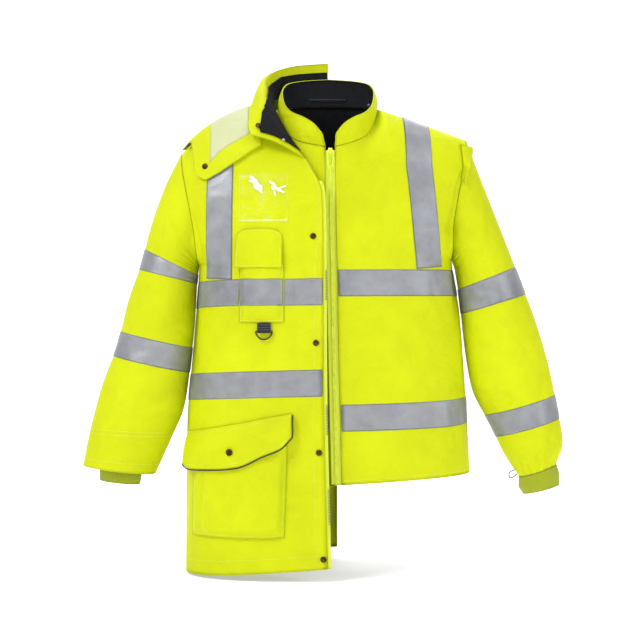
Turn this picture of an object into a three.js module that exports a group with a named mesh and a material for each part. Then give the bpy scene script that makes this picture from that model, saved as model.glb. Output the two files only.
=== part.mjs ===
// Hi-vis work jacket shown opened up: the wearer's right half of a long outer coat over a whole
// shorter inner jacket. Millimetres, +Z up, the front faces -Y, +X is the wearer's left.
// The origin is between the shoulders at the base of the neck.
import * as THREE from 'three';

// Driving sizes
const SHELL = 2.4;            // wall of the outer coat's cloth with its backing
const JACKET = 2.4;           // wall of the inner jacket's cloth with its fleece
const LINING = 1.6;           // wall of a lining that shows
const TAPE_WIDTH = 50;        // reflective tape
const TAPE_WALL = 0.8;
const TAPE_LIFT = 0.9;        // clearance between a panel and the tape sewn on it
const ARMHOLE_SEAM = 0.95;    // gap where a sleeve meets its armhole
const SNAP_RADIUS = 5.7;      // press stud

// Colours
const HI_VIS = 0xdcf01e;
const TAPE_GREY = 0xa5a8af;
const FLEECE = 0x1e2022;
const KNIT = 0xb2c01e;
const SNAP_METAL = 0x372d0f;
const PIPING = 0x2c2f10;
const PALE_PANEL = 0xe1e8c8;

const V = (x, y, z) => new THREE.Vector3(x, y, z);
const mix = (a, b, t) => a + (b - a) * t;
const clamp = (x, low, high) => Math.min(high, Math.max(low, x));

// A table with named columns: each row becomes an object.
function table(columns, rows) {
  const names = columns.split(' ');
  return rows.map((row) => Object.fromEntries(names.map((name, i) => [name, row[i]])));
}

// Smooth values between the rows of a table, at row number t, with no overshoot past a row.
function smooth(rows, t) {
  const last = rows.length - 1;
  const i = clamp(Math.floor(t), 0, last - 1);
  const f = clamp(t, 0, last) - i;
  const out = {};
  for (const name of Object.keys(rows[0])) {
    const step = (k) => rows[k + 1][name] - rows[k][name];
    const slope = (k) => {
      if (k === 0) return step(0);
      if (k === last) return step(last - 1);
      const both = step(k - 1) * step(k);
      return both <= 0 ? 0 : (2 * both) / (step(k - 1) + step(k));
    };
    const f2 = f * f;
    const f3 = f2 * f;
    out[name] = rows[i][name] * (2 * f3 - 3 * f2 + 1) + rows[i + 1][name] * (3 * f2 - 2 * f3)
      + slope(i) * (f3 - 2 * f2 + f) + slope(i + 1) * (f3 - f2);
  }
  return out;
}

const spread = (from, to, steps) => Array.from({ length: steps + 1 }, (_, i) => mix(from, to, i / steps));

// Distance from a point to a fold line in panel coordinates, in millimetres.
function foldDepth(folds, u, v, perU, perV) {
  let sum = 0;
  for (const f of folds) {
    const ax = (f.u1 - f.u0) * perU;
    const ay = (f.v1 - f.v0) * perV;
    const px = (u - f.u0) * perU;
    const py = (v - f.v0) * perV;
    const length = Math.hypot(ax, ay);
    const along = clamp((px * ax + py * ay) / (length * length), 0, 1);
    const away = Math.hypot(px - along * ax, py - along * ay);
    sum -= f.depth * Math.exp(-((away / f.width) ** 2)) * (0.35 + 0.65 * Math.sin(Math.PI * along));
  }
  return sum;
}

// A faceted surface over the lines us and vs. point(u, v) gives the smooth shape, core(p) a point
// inside the garment, push(u, v) the height of its folds.
function surface(point, us, vs, { core, push = () => 0, closed = false, perU = 300, perV = 95 }) {
  const step = 0.01;
  let facing = 0;
  const rows = vs.map((v) => us.map((u) => {
    const p = point(u, v);
    const u0 = closed ? u - step : Math.max(us[0], u - step);
    const u1 = closed ? u + step : Math.min(us[us.length - 1], u + step);
    const du = point(u1, v).sub(point(u0, v));
    const top = vs[vs.length - 1];
    const dv = point(u, Math.min(top, v + step)).sub(point(u, Math.max(vs[0], v - step)));
    const n = du.cross(dv).normalize();
    facing += n.dot(p.clone().sub(core(p, u, v)));
    return { p, n, height: push(u, v, perU, perV) };
  }));
  for (const row of rows) {
    for (const c of row) {
      c.n.multiplyScalar(Math.sign(facing));
      c.p.addScaledVector(c.n, c.height);
    }
  }
  const find = (lines, x) => {
    let k = 0;
    while (k < lines.length - 2 && lines[k + 1] < x) k += 1;
    return [k, clamp((x - lines[k]) / (lines[k + 1] - lines[k]), 0, 1)];
  };
  // The point at (u, v) on the facets, moved out by lift.
  const at = (u, v, lift = 0) => {
    const [j, s] = find(us, closed ? ((u % 1) + 1) % 1 : u);
    const [i, t] = find(vs, v);
    const blend = (key) => rows[i][j][key].clone().multiplyScalar((1 - s) * (1 - t))
      .addScaledVector(rows[i][j + 1][key], s * (1 - t))
      .addScaledVector(rows[i + 1][j][key], (1 - s) * t)
      .addScaledVector(rows[i + 1][j + 1][key], s * t);
    return blend('p').addScaledVector(blend('n').normalize(), lift);
  };
  const normal = (u, v) => at(u, v, 1).sub(at(u, v, 0)).normalize();
  return { us, vs, rows, closed, at, normal };
}

// Triangles of a closed wall between an outer and an inner grid of points.
function wallGeometry(outer, inner, closed) {
  const high = outer.length;
  const wide = outer[0].length;
  const positions = [];
  for (const p of [outer, inner].flat(2)) positions.push(p.x, p.y, p.z);
  const index = [];
  const id = (side, i, j) => side * high * wide + i * wide + (closed ? j % wide : j);
  const quad = (a, b, c, d) => index.push(a, b, c, a, c, d);
  const columns = closed ? wide : wide - 1;
  for (let i = 0; i < high - 1; i += 1) {
    for (let j = 0; j < columns; j += 1) {
      quad(id(0, i, j), id(0, i, j + 1), id(0, i + 1, j + 1), id(0, i + 1, j));
      quad(id(1, i, j), id(1, i + 1, j), id(1, i + 1, j + 1), id(1, i, j + 1));
    }
  }
  for (let j = 0; j < columns; j += 1) {
    quad(id(1, 0, j), id(1, 0, j + 1), id(0, 0, j + 1), id(0, 0, j));
    quad(id(0, high - 1, j), id(0, high - 1, j + 1), id(1, high - 1, j + 1), id(1, high - 1, j));
  }
  if (!closed) {
    for (let i = 0; i < high - 1; i += 1) {
      quad(id(0, i, 0), id(0, i + 1, 0), id(1, i + 1, 0), id(1, i, 0));
      quad(id(1, i, wide - 1), id(1, i + 1, wide - 1), id(0, i + 1, wide - 1), id(0, i, wide - 1));
    }
  }
  return solid(positions, index);
}

// A geometry with its faces pointing out, whichever way its grid ran.
function solid(positions, index) {
  let volume = 0;
  const p = (k) => V(positions[3 * k], positions[3 * k + 1], positions[3 * k + 2]);
  for (let k = 0; k < index.length; k += 3) {
    volume += p(index[k]).dot(p(index[k + 1]).cross(p(index[k + 2])));
  }
  if (volume < 0) {
    for (let k = 0; k < index.length; k += 3) [index[k + 1], index[k + 2]] = [index[k + 2], index[k + 1]];
  }
  const geometry = new THREE.BufferGeometry();
  geometry.setAttribute('position', new THREE.Float32BufferAttribute(positions, 3));
  geometry.setIndex(index);
  geometry.computeVertexNormals();
  return geometry;
}

// The wall of a whole surface. edge(i, j, n) may turn the wall's direction where it meets a seam.
function wall(surf, thickness, edge = (i, j, n) => n) {
  const count = surf.closed ? surf.us.length - 1 : surf.us.length;
  const outer = surf.rows.map((row) => row.slice(0, count).map((c) => c.p));
  const inner = surf.rows.map((row, i) => row.slice(0, count)
    .map((c, j) => c.p.clone().addScaledVector(edge(i, j, c.n.clone()).normalize(), -thickness)));
  return wallGeometry(outer, inner, surf.closed);
}

// A piece lying on a surface: place(s, t) gives its panel coordinates, lift(s, t) its height.
function patch(surf, ss, ts, place, lift, thickness, closed = false) {
  const grid = (extra) => ts.map((t) => (closed ? ss.slice(0, -1) : ss).map((s) => {
    const [u, v] = place(s, t);
    return surf.at(u, v, lift(s, t) + extra);
  }));
  return wallGeometry(grid(thickness), grid(0), closed);
}

// A round bar along points, with closed ends, or a closed ring.
function bar(points, radius, sides, ring = false) {
  const count = points.length;
  const positions = [];
  let side = null;
  points.forEach((p, i) => {
    const before = points[ring ? (i + count - 1) % count : Math.max(0, i - 1)];
    const after = points[ring ? (i + 1) % count : Math.min(count - 1, i + 1)];
    const along = after.clone().sub(before).normalize();
    if (!side) side = along.clone().cross(Math.abs(along.y) > 0.9 ? V(1, 0, 0) : V(0, 1, 0)).normalize();
    side.addScaledVector(along, -side.dot(along)).normalize();
    const up = along.clone().cross(side);
    for (let k = 0; k < sides; k += 1) {
      const a = (2 * Math.PI * k) / sides;
      const q = p.clone().addScaledVector(side, radius * Math.cos(a));
      q.addScaledVector(up, radius * Math.sin(a));
      positions.push(q.x, q.y, q.z);
    }
  });
  const index = [];
  const stretches = ring ? count : count - 1;
  for (let i = 0; i < stretches; i += 1) {
    const next = (i + 1) % count;
    for (let k = 0; k < sides; k += 1) {
      const m = (k + 1) % sides;
      index.push(i * sides + k, i * sides + m, next * sides + m);
      index.push(i * sides + k, next * sides + m, next * sides + k);
    }
  }
  if (!ring) {
    for (let k = 1; k < sides - 1; k += 1) {
      index.push(0, k + 1, k, (count - 1) * sides, (count - 1) * sides + k, (count - 1) * sides + k + 1);
    }
  }
  return solid(positions, index);
}

const group = new THREE.Group();

function add(name, geometry, colour, roughness = 0.75, metalness = 0) {
  const material = new THREE.MeshStandardMaterial({ color: colour, roughness, metalness });
  const mesh = new THREE.Mesh(geometry, material);
  mesh.name = name;
  group.add(mesh);
  return mesh;
}

// PIECES
// Fronts and backs. Each row of a panel's table is a section from the hem up: ex ey ez is its edge
// at the middle of the body, sx sy sz its edge at the side seam and then the armhole, and round
// how full the section is between them. Above the last row the panel runs up and over to its top
// edge, the neckline for the share neckShare and then the shoulder seam.
const SECTION = 'ex ey ez sx sy sz round';
const ARMPIT = 4;             // row number of the armpit in every panel table

const innerFront = {
  rows: table(SECTION, [
    [26.5, -135, -692, 279, -0.3, -677, 2.5],
    [24, -137, -588, 274, -0.3, -588, 2.5],
    [21.5, -134, -481, 267, -0.3, -481, 2.5],
    [19.5, -130, -380, 259, -0.3, -372, 2.4],
    [18, -126, -287, 244, -0.3, -262, 2.3],
    [16.5, -121, -215, 243.5, -52, -205, 1.9],
    [15.5, -113, -145, 251, -66, -145, 1.7],
    [14.5, -104, -88, 263, -58, -88, 1.5],
  ]),
  neck: table('x y z', [[14.5, -100, -50], [50, -93, -40], [76, -72, -24], [91, -38, 4], [96, 2, 33]]),
  tip: V(272, 2, -28),
  bow: 0,
  neckShare: 0.38,
};
const innerBack = {
  rows: table(SECTION, [
    [0, 150, -725, 279, 0.3, -677, 2.5],
    [0, 146, -612, 274, 0.3, -588, 2.5],
    [0, 140, -490, 267, 0.3, -481, 2.5],
    [0, 135, -378, 259, 0.3, -372, 2.4],
    [0, 134, -268, 244, 0.3, -262, 2.3],
    [0, 133, -195, 243.5, 50, -205, 1.9],
    [0, 126, -120, 251, 62, -145, 1.7],
    [0, 112, -40, 263, 54, -88, 1.5],
  ]),
  neck: table('x y z', [[0, 76, 48], [40, 71, 46], [72, 50, 42], [91, 26, 38], [96, 2.6, 33]]),
  tip: V(272, 2.6, -28),
  bow: 0,
  neckShare: 0.38,
};
const outerFront = {
  rows: table(SECTION, [
    [0.5, -165, -846, 277.6, -0.3, -868, 2.6],
    [4, -165, -717, 277.6, -0.3, -735, 2.6],
    [7, -162, -590, 275.5, -0.3, -592, 2.6],
    [8.6, -158, -450, 264, -0.3, -440, 2.5],
    [9, -150, -285, 252.5, -0.3, -274, 2.4],
    [9.5, -145, -212, 258, -66, -215, 2],
    [12, -137, -140, 268, -76, -155, 1.8],
    [34, -124, -88, 279, -62, -102, 1.6],
  ]),
  neck: table('x y z', [[46, -119, -75], [72, -101, -42], [97, -64, 3], [109, -28, 32], [111, 2, 48]]),
  tip: V(288, 2, -56),
  bow: 16,
  neckShare: 0.36,
};
const outerBack = {
  rows: table(SECTION, [
    [-20, 165, -850, 277.6, 0.3, -868, 2.6],
    [-20, 164, -725, 277.6, 0.3, -735, 2.6],
    [-20, 161, -590, 275.5, 0.3, -592, 2.6],
    [-20, 156, -445, 264, 0.3, -440, 2.5],
    [-14, 153, -280, 252.5, 0.3, -274, 2.4],
    [-9, 151, -205, 258, 66, -215, 2],
    [-4, 144, -125, 268, 74, -155, 1.8],
    [0, 130, -35, 279, 62, -102, 1.6],
  ]),
  neck: table('x y z', [[0, 95, 62], [38, 92, 61], [72, 74, 57], [103, 42, 56], [111, 2.6, 48]]),
  tip: V(288, 2.6, -56),
  bow: 16,
  neckShare: 0.36,
};

const TOP = 8;                // row number of a panel's top edge

// The point of a panel, side +1 for the wearer's left and -1 for the right, narrow for a layer
// that lies squeezed under another. The armhole's foot is scooped like a quarter ellipse,
// and above the last section the panel domes over to the shoulder seam.
function panelPoint(panel, side, narrow = 1) {
  const last = panel.rows.length - 1;
  const deep = 1 - (1 - narrow) * 1.2;
  const tip = V(panel.tip.x * narrow, panel.tip.y, panel.tip.z - (1 - narrow) * 200);
  const corner = panel.neck[panel.neck.length - 1];
  const top = (u) => {
    if (u < panel.neckShare) {
      const n = smooth(panel.neck, (u / panel.neckShare) * (panel.neck.length - 1));
      return V(n.x, n.y, n.z);
    }
    const q = (u - panel.neckShare) / (1 - panel.neckShare);
    const dip = panel.bow * Math.sin(Math.PI * q ** 1.3);
    return V(corner.x, corner.y, corner.z).lerp(tip, q).add(V(0, 0, dip));
  };
  return (u, v) => {
    const s = smooth(panel.rows, Math.min(v, last));
    const turn = (u * Math.PI) / 2;
    const across = Math.sin(turn) ** (2 / s.round);
    const along = Math.abs(Math.cos(turn)) ** (2 / s.round);
    const edgeY = Math.abs(s.sy) < 1 ? s.sy : s.sy * deep;
    const p = V(mix(s.ex, s.sx * narrow, across), mix(edgeY, s.ey, along), mix(s.ez, s.sz, across));
    if (v > ARMPIT && v < ARMPIT + 1) {
      const foot = panel.rows[ARMPIT];
      const next = panel.rows[ARMPIT + 1];
      const scoop = ((v - ARMPIT) * Math.PI) / 2;
      const near = across ** 7;
      p.y += (mix(foot.sy, next.sy * deep, Math.sin(scoop)) - edgeY) * near;
      p.z += (mix(foot.sz, next.sz, 1 - Math.cos(scoop)) - s.sz) * near;
    }
    if (v > last) {
      const w = v - last;
      const turned = (w * Math.PI) / 2;
      const dome = clamp(u / panel.neckShare, 0, 1) ** 2;
      const t = top(u);
      const back = mix(w, 1 - Math.cos(turned), dome);
      p.set(mix(p.x, t.x, w), mix(p.y, t.y, back), mix(p.z, t.z, mix(w, Math.sin(turned), dome)));
    }
    p.x *= side;
    return p;
  };
}

const bodyCore = (p) => V(0, 0, clamp(p.z, -600, -250));
const ARMHOLE_LINES = [4.22, 4.55, 5, 5.65, 6.3, 7];
const CAP_LINES = [0.25, 0.5, 0.75, 1].map((w) => TOP - 1 + w);
const panelLines = (below) => [...spread(0, ARMPIT, below), ...ARMHOLE_LINES, ...CAP_LINES];

// Turns a panel's wall where it meets a seam: side seam, armhole, neckline and shoulder.
function panelEdge(surf, share) {
  const last = surf.vs.length - 1;
  return (i, j, n) => {
    const u = Math.abs(surf.us[j]);
    const atArmhole = u > 0.999 && surf.vs[i] > ARMPIT;
    if (i === last && Math.abs(u - share) < 0.001) return V(Math.sign(surf.rows[i][j].p.x), 0, 0);
    if (i === last && u < share) n.z = 0;
    else if (i === last || (u > 0.999 && !atArmhole)) n.y = 0;
    else if (atArmhole) n.x = 0;
    return n;
  };
}

// Largest folds of the panels: from (u0, v0) to (u1, v1), width and depth in millimetres.
const FOLD = 'u0 v0 u1 v1 width depth';
const outerFolds = table(FOLD, [
  [0.98, 4.1, 0.8, 2.7, 20, 5],
  [0.94, 5.6, 0.78, 4.3, 17, 4],
  [0.62, 1.9, 0.74, 0.5, 24, -4],
  [0.2, 3.1, 0.28, 1.7, 26, 3],
  [0.86, 2.2, 0.95, 0.6, 18, 4],
]);
const innerFolds = table(FOLD, [
  [0.98, 4.2, 0.78, 2.9, 19, 5],
  [0.92, 6.1, 0.84, 4.6, 16, 4.5],
  [0.45, 0.3, 0.62, 1.7, 24, -4],
  [0.74, 1.8, 0.9, 0.5, 20, 4],
  [0.3, 2.9, 0.42, 2.2, 22, 3],
]);
const backFolds = table(FOLD, [
  [0.96, 4.3, 0.66, 3, 22, 6],
  [0.9, 5.8, 0.68, 4.9, 18, 4],
  [0.35, 3.2, 0.5, 1.6, 26, 5],
  [0.15, 1.8, 0.22, 0.4, 24, -4],
  [0.7, 2.1, 0.86, 0.6, 22, 4],
]);

const foldsOf = (folds) => (u, v, perU, perV) => foldDepth(folds, u, v, perU, perV)
  * clamp((1 - u) * 12, 0, 1) * clamp(u * 10, 0, 1) * clamp((TOP - 0.6 - v) * 2, 0, 1);

const splitColumns = (share, inner, outer) => [
  ...spread(0, share, inner),
  ...spread(share, 1, outer).slice(1),
];

function panelSurface(panel, side, folds, inner, outer, below, narrow = 1) {
  const point = panelPoint(panel, side, narrow);
  const lines = panelLines(below);
  const columns = splitColumns(panel.neckShare, inner, outer);
  return surface(point, columns, lines, { core: bodyCore, push: foldsOf(folds) });
}

const SQUEEZE = 0.93;         // width of the inner jacket under the coat, of its free width
// The right front's edge lies 20 mm from the left's, across the leaning zip.
const ZIP_GAP = 20;
const innerFrontRight = {
  ...innerFront,
  rows: innerFront.rows.map((row) => ({ ...row, ex: ZIP_GAP - row.ex })),
  neck: innerFront.neck.map((row, i) => (i === 0 ? { ...row, x: ZIP_GAP - row.x } : row)),
};
const jacketLeft = panelSurface(innerFront, 1, innerFolds, 5, 7, 8);
const jacketRight = panelSurface(innerFrontRight, -1, [], 5, 4, 5, SQUEEZE);
const backHalf = { left: panelPoint(innerBack, 1), right: panelPoint(innerBack, -1, SQUEEZE) };
const rightColumns = splitColumns(innerBack.neckShare, 4, 4).map((u) => -u).reverse();
const jacketBack = surface(
  (u, v) => (u < 0 ? backHalf.right(-u, v) : backHalf.left(u, v)),
  [...rightColumns, ...splitColumns(innerBack.neckShare, 4, 6).slice(1)],
  panelLines(7),
  { core: bodyCore, push: (u, v, perU, perV) => (u > 0 ? foldsOf(backFolds)(u, v, perU, perV) : 0) },
);
const coatFront = panelSurface(outerFront, -1, outerFolds, 5, 8, 9);
const coatBack = panelSurface(outerBack, -1, backFolds, 4, 7, 9);

const panelWall = (surf, thick, panel) => wall(surf, thick, panelEdge(surf, panel.neckShare));
add('jacket_front_left', panelWall(jacketLeft, JACKET, innerFront), HI_VIS);
add('jacket_front_right', panelWall(jacketRight, JACKET, innerFront), HI_VIS);
add('jacket_back', panelWall(jacketBack, JACKET, innerBack), HI_VIS);
add('coat_front', panelWall(coatFront, SHELL, outerFront), HI_VIS);
add('coat_back', panelWall(coatBack, SHELL, outerBack), HI_VIS);

// Sleeves. Each row is a ring: ix iz its point nearest the body, ox oz its outermost point,
// cy the middle in depth and half its half depth. The first ring is the armhole itself.
const RING = 'ix iz ox oz cy half';
const coatSleeve = table(RING, [
  [253, -274, 288, -56, 0, 74],
  [253.4, -280, 319, -119, 0, 74],
  [254, -286, 349, -205, -2, 76],
  [256, -300, 364, -266, -5, 76],
  [260, -381, 391, -346, -12, 75],
  [267.5, -457, 410, -426, -18, 73],
  [279, -545, 440, -510, -28, 70],
  [305, -612, 464, -606, -37, 66],
  [334, -678, 474, -661, -45, 62],
]);
const jacketSleeve = table(RING, [
  [244, -262, 273, -28, 0, 66],
  [245.4, -268, 304, -112, 0, 70],
  [248.5, -275, 343, -212, -2, 72],
  [258.8, -338, 375, -296, -5, 70],
  [268, -430, 410, -392, -12, 68],
  [282, -514, 433, -475, -18, 65],
  [319, -588, 447, -549, -25, 62],
  [345, -644, 457, -615, -35, 58],
  [371, -684, 443, -660, -45, 36],
]);
// The inner jacket's right sleeve lies inside the coat's.
const hiddenSleeve = table(RING, [
  [227.4, -262, 254, -43, 0, 60],
  [243, -256, 280, -95, 0, 56],
  [259, -257, 316, -170, 0, 58],
  [265, -282, 350, -252, -4, 63],
  [269, -372, 379, -346, -12, 65],
  [276, -452, 398, -426, -18, 63],
  [290, -540, 426, -512, -28, 60],
  [316, -608, 448, -604, -37, 55],
  [364, -664, 438, -652, -45, 36],
]);

// The armhole as a closed line, from the armpit up the front, over the shoulder and down the back.
function armhole(front, back, side, narrow = 1) {
  const steps = 40;
  const up = spread(ARMPIT, TOP, steps).map((v) => panelPoint(front, side, narrow)(1, v));
  const down = spread(TOP, ARMPIT, steps).map((v) => panelPoint(back, side, narrow)(1, v));
  const even = (points) => {
    const run = [0];
    for (let k = 1; k < points.length; k += 1) run.push(run[k - 1] + points[k].distanceTo(points[k - 1]));
    return (f) => {
      const want = f * run[run.length - 1];
      let k = 1;
      while (k < run.length - 1 && run[k] < want) k += 1;
      return points[k - 1].clone().lerp(points[k], (want - run[k - 1]) / (run[k] - run[k - 1]));
    };
  };
  const frontLine = even(up);
  const backLine = even(down);
  return (a) => (a < 0.5 ? frontLine(a * 2) : backLine(a * 2 - 1));
}

function sleevePoint(rings, hole, side) {
  const ellipse = (a, r) => {
    const ring = smooth(rings, r);
    const turn = Math.cos(2 * Math.PI * a);
    return V(
      side * mix(ring.ix, ring.ox, (1 - turn) / 2),
      ring.cy - ring.half * Math.sin(2 * Math.PI * a),
      mix(ring.iz, ring.oz, (1 - turn) / 2),
    );
  };
  return (a, r) => {
    const turn = ((a % 1) + 1) % 1;
    const p = ellipse(turn, r);
    const fade = Math.max(0, 1 - r / 1.6) ** 2;
    const start = hole(turn).add(V(side * ARMHOLE_SEAM, 0, 0));
    return p.addScaledVector(start.sub(ellipse(turn, 0)), fade);
  };
}

// Folds round a sleeve: at turn a0 to a1 and ring r0 to r1.
const sleeveFolds = table(FOLD, [
  [0.1, 1.8, 0.32, 2.6, 13, 3.5],
  [0.03, 3.5, 0.2, 4.3, 12, 4],
  [0.16, 4.6, 0.36, 5.2, 14, 3.5],
  [0.05, 5.5, 0.26, 6.4, 13, 4],
  [0.62, 2.8, 0.88, 3.6, 14, 4],
  [0.7, 4.4, 0.94, 5.4, 14, 4],
  [0.38, 6.2, 0.3, 7.3, 12, 3],
]);

function sleeveSurface(rings, hole, side, folds, around, lines) {
  const point = sleevePoint(rings, hole, side);
  const middle = (p, a, r) => {
    const ring = smooth(rings, r);
    return V((side * (ring.ix + ring.ox)) / 2, ring.cy, (ring.iz + ring.oz) / 2);
  };
  const push = (a, r, perU, perV) => foldDepth(folds, a, r, perU, perV)
    * clamp((r - 0.6) * 1.5, 0, 1) * clamp((rings.length - 1.1 - r) * 2, 0, 1)
    * clamp(Math.min(a, 1 - a) * 16, 0.15, 1);
  const options = { core: middle, push, closed: true, perU: 420, perV: 80 };
  return surface(point, spread(0, 1, around), lines, options);
}

const ringLines = [0, 0.35, 0.7, 1.05, 1.5, 2, 2.5, 3, 3.5, 4, 4.5, 5, 5.5, 6, 6.5, 7, 7.5, 8];
const coatHole = armhole(outerFront, outerBack, -1);
const leftHole = armhole(innerFront, innerBack, 1);
const rightHole = armhole(innerFront, innerBack, -1, SQUEEZE);
const sleeveCoat = sleeveSurface(coatSleeve, coatHole, -1, sleeveFolds, 20, ringLines);
const sleeveLeft = sleeveSurface(jacketSleeve, leftHole, 1, sleeveFolds, 20, ringLines);
const rightLines = [0, 0.4, 0.9, 1.5, 2.2, 3, 4.5, 6, 7, 8];
const sleeveRight = sleeveSurface(hiddenSleeve, rightHole, -1, [], 14, rightLines);

// A sleeve's wall; at the armhole its thickness lies in the plane of the armhole.
function sleeveWall(surf, thick) {
  const first = surf.rows[0].slice(0, -1);
  const middle = first.reduce((sum, c) => sum.add(c.p), V(0, 0, 0)).multiplyScalar(1 / first.length);
  return wall(surf, thick, (i, j, n) => {
    if (i > 0) return n;
    const out = surf.rows[0][j].p.clone().sub(middle);
    out.x = 0;
    return out;
  });
}
add('coat_sleeve', sleeveWall(sleeveCoat, SHELL), HI_VIS);
add('jacket_sleeve_left', sleeveWall(sleeveLeft, JACKET), HI_VIS);
add('jacket_sleeve_right', sleeveWall(sleeveRight, JACKET), HI_VIS);

// Collars. The seam follows the neckline of the panels; each row of a table gives the top edge
// and the bulge of the stand, from the front end to the middle of the back.
const COLLAR = 'x y z bulge roll';
const jacketCollarTop = table(COLLAR, [
  [16.5, -116, -28, 0, 0],
  [31, -110, -8, 2, 0],
  [50, -99, 6, 4, 0],
  [74, -80, 19, 5, 0],
  [88, -48, 40, 5, 0],
  [92, -4, 68, 5, 0],
  [84, 40, 88, 4, 0],
  [54, 71, 99, 3, 0],
  [3, 83, 104, 2, 0],
]);
const coatCollarTop = table(COLLAR, [
  [147, -118, -30, 0, 8],
  [151, -100, -12, 0, 16],
  [149, -66, 18, 0, 22],
  [142, -20, 55, 0, 22],
  [126, 30, 98, 4, 10],
  [95, 66, 122, 5, 0],
  [52, 89, 134, 4, 0],
  [0, 97, 138.5, 3, 0],
]);

// The share of a collar's length that lies on the front panel.
const FRONT_SHARE = 0.56;
const RISE = 0.55;            // gap above the neckline seam

function collarPoint(front, back, top, side, midX = 0) {
  const frontLine = panelPoint(front, side);
  const backLine = panelPoint(back, side);
  return (u, v) => {
    const f = u < FRONT_SHARE ? u / FRONT_SHARE : (1 - u) / (1 - FRONT_SHARE);
    const seam = u < FRONT_SHARE ? frontLine(f * front.neckShare, TOP) : backLine(f * back.neckShare, TOP);
    const t = smooth(top, u * (top.length - 1));
    const edge = V(side * t.x, t.y, t.z);
    const out = V(edge.x + seam.x, edge.y + seam.y, 0).normalize();
    return seam.add(V(midX, 0, RISE)).lerp(edge, v).addScaledVector(out, t.bulge * Math.sin(Math.PI * v))
      .add(V(0, -0.6, 0.8).multiplyScalar(t.roll * Math.sin(Math.PI * v)));
  };
}

// Columns that fall on those of the panels below.
const collarLines = (front, back) => splitColumns(FRONT_SHARE, front, back);

const jacketCollarLeft = collarPoint(innerFront, innerBack, jacketCollarTop, 1);
const jacketCollarRight = collarPoint(innerFrontRight, innerBack, jacketCollarTop, -1);
const zipTopX = innerFront.neck[0].x - ZIP_GAP / 2;
// The collar runs from the right front end at -1 round the back, at 0, to the left end at 1.
const jacketCollar = surface(
  (u, v) => {
    const p = u < 0 ? jacketCollarRight(1 + u, v) : jacketCollarLeft(1 - u, v);
    if (u < 0) p.x += v * zipTopX * Math.max(0, -u);
    if (Math.abs(u) < 0.06) p.x *= 0.999;
    return p;
  },
  [...collarLines(5, 4).map((u) => u - 1), ...collarLines(5, 4).reverse().slice(1).map((u) => 1 - u)],
  [0, 0.34, 0.67, 1],
  { core: (p) => V(0, -15, p.z - 40) },
);
const coatCollar = surface(
  collarPoint(outerFront, outerBack, coatCollarTop, -1),
  collarLines(5, 4),
  [0, 0.25, 0.5, 0.75, 1],
  { core: () => V(0, -300, 200) },
);
const collarEdge = (i, j, n) => {
  if (i === 0) n.z = 0;
  return n;
};
add('jacket_collar', wall(jacketCollar, JACKET, collarEdge), HI_VIS);
add('coat_collar', wall(coatCollar, SHELL, collarEdge), HI_VIS);

const LINING_GAP = 1.2;
const trimmed = (lines, from, to) => [from, ...lines.filter((x) => x > from + 0.02 && x < to - 0.02), to];
const liningLift = (wallThick) => () => -(wallThick + LINING_GAP + LINING);
add('jacket_collar_lining', patch(
  jacketCollar, trimmed(jacketCollar.us, -0.92, 0.92), [0.17, 0.34, 0.67, 0.95], (s, t) => [s, t],
  liningLift(JACKET), LINING,
), FLEECE, 0.95);
add('coat_collar_lining', patch(
  coatCollar, trimmed(coatCollar.us, 0.05, 0.995), [0.12, 0.25, 0.5, 0.64, 0.77], (s, t) => [s, t],
  liningLift(SHELL + 2), LINING,
), FLEECE, 0.95);
add('jacket_hem_facing', patch(
  jacketBack,
  jacketBack.us.filter((u) => Math.abs(u) < 0.97),
  [0.03, ...jacketBack.vs.filter((v) => v > 0.1 && v < 1.2)],
  (s, t) => [s, t], liningLift(JACKET - 0.5), LINING,
), FLEECE, 0.95);

// Loop for a hook, inside the collar at the back.
const INSIDE = JACKET + LINING_GAP + LINING;
const hangerPoints = spread(-1, 1, 8).map((s) => {
  const stand = INSIDE + 1.9 + 3 * (1 - s * s);
  return jacketCollar.at(s * 0.09, 0.2 + 0.04 * s * s, -stand);
});
add('hanger_loop', bar(hangerPoints, 1.5, 8), FLEECE, 0.9);

// Knit cuffs, with the ribs raised in their outer points.
const RIBS = 16;
const RIB_HIGH = 0.8;
const KNIT_WALL = 2;
const rightCuffRings = table(RING, [
  [364.5, -665, 438.5, -653, -45.3, 36],
  [362, -682, 442, -674, -46, 37],
  [364, -698, 441, -690, -46, 35],
]);
const leftCuffRings = table(RING, [
  [371.4, -685, 443.6, -661, -45.3, 36],
  [371, -702, 449, -681, -46, 37],
  [378, -717, 448, -699, -47, 35],
]);
function cuff(rings, side) {
  const ring = (a, r) => {
    const q = smooth(rings, r);
    const turn = Math.cos(2 * Math.PI * a);
    const across = (1 - turn) / 2;
    return V(
      side * mix(q.ix, q.ox, across),
      q.cy - q.half * Math.sin(2 * Math.PI * a),
      mix(q.iz, q.oz, across),
    );
  };
  const middle = (p, a, r) => ring(0, r).add(ring(0.5, r)).multiplyScalar(0.5);
  const surf = surface(ring, spread(0, 1, RIBS * 2), [0, 1, 2], { core: middle, closed: true });
  const ringOf = (row, lift) => row.slice(0, -1).map((c, j) => c.p.clone().addScaledVector(c.n, lift(j)));
  const outer = surf.rows.map((row) => ringOf(row, (j) => (j % 2 ? RIB_HIGH : 0)));
  const inner = surf.rows.map((row) => ringOf(row, () => -KNIT_WALL));
  return wallGeometry(outer, inner, true);
}
add('knit_cuff_left', cuff(leftCuffRings, 1), KNIT, 0.95);
add('knit_cuff_right', cuff(rightCuffRings, -1), KNIT, 0.95);

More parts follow.
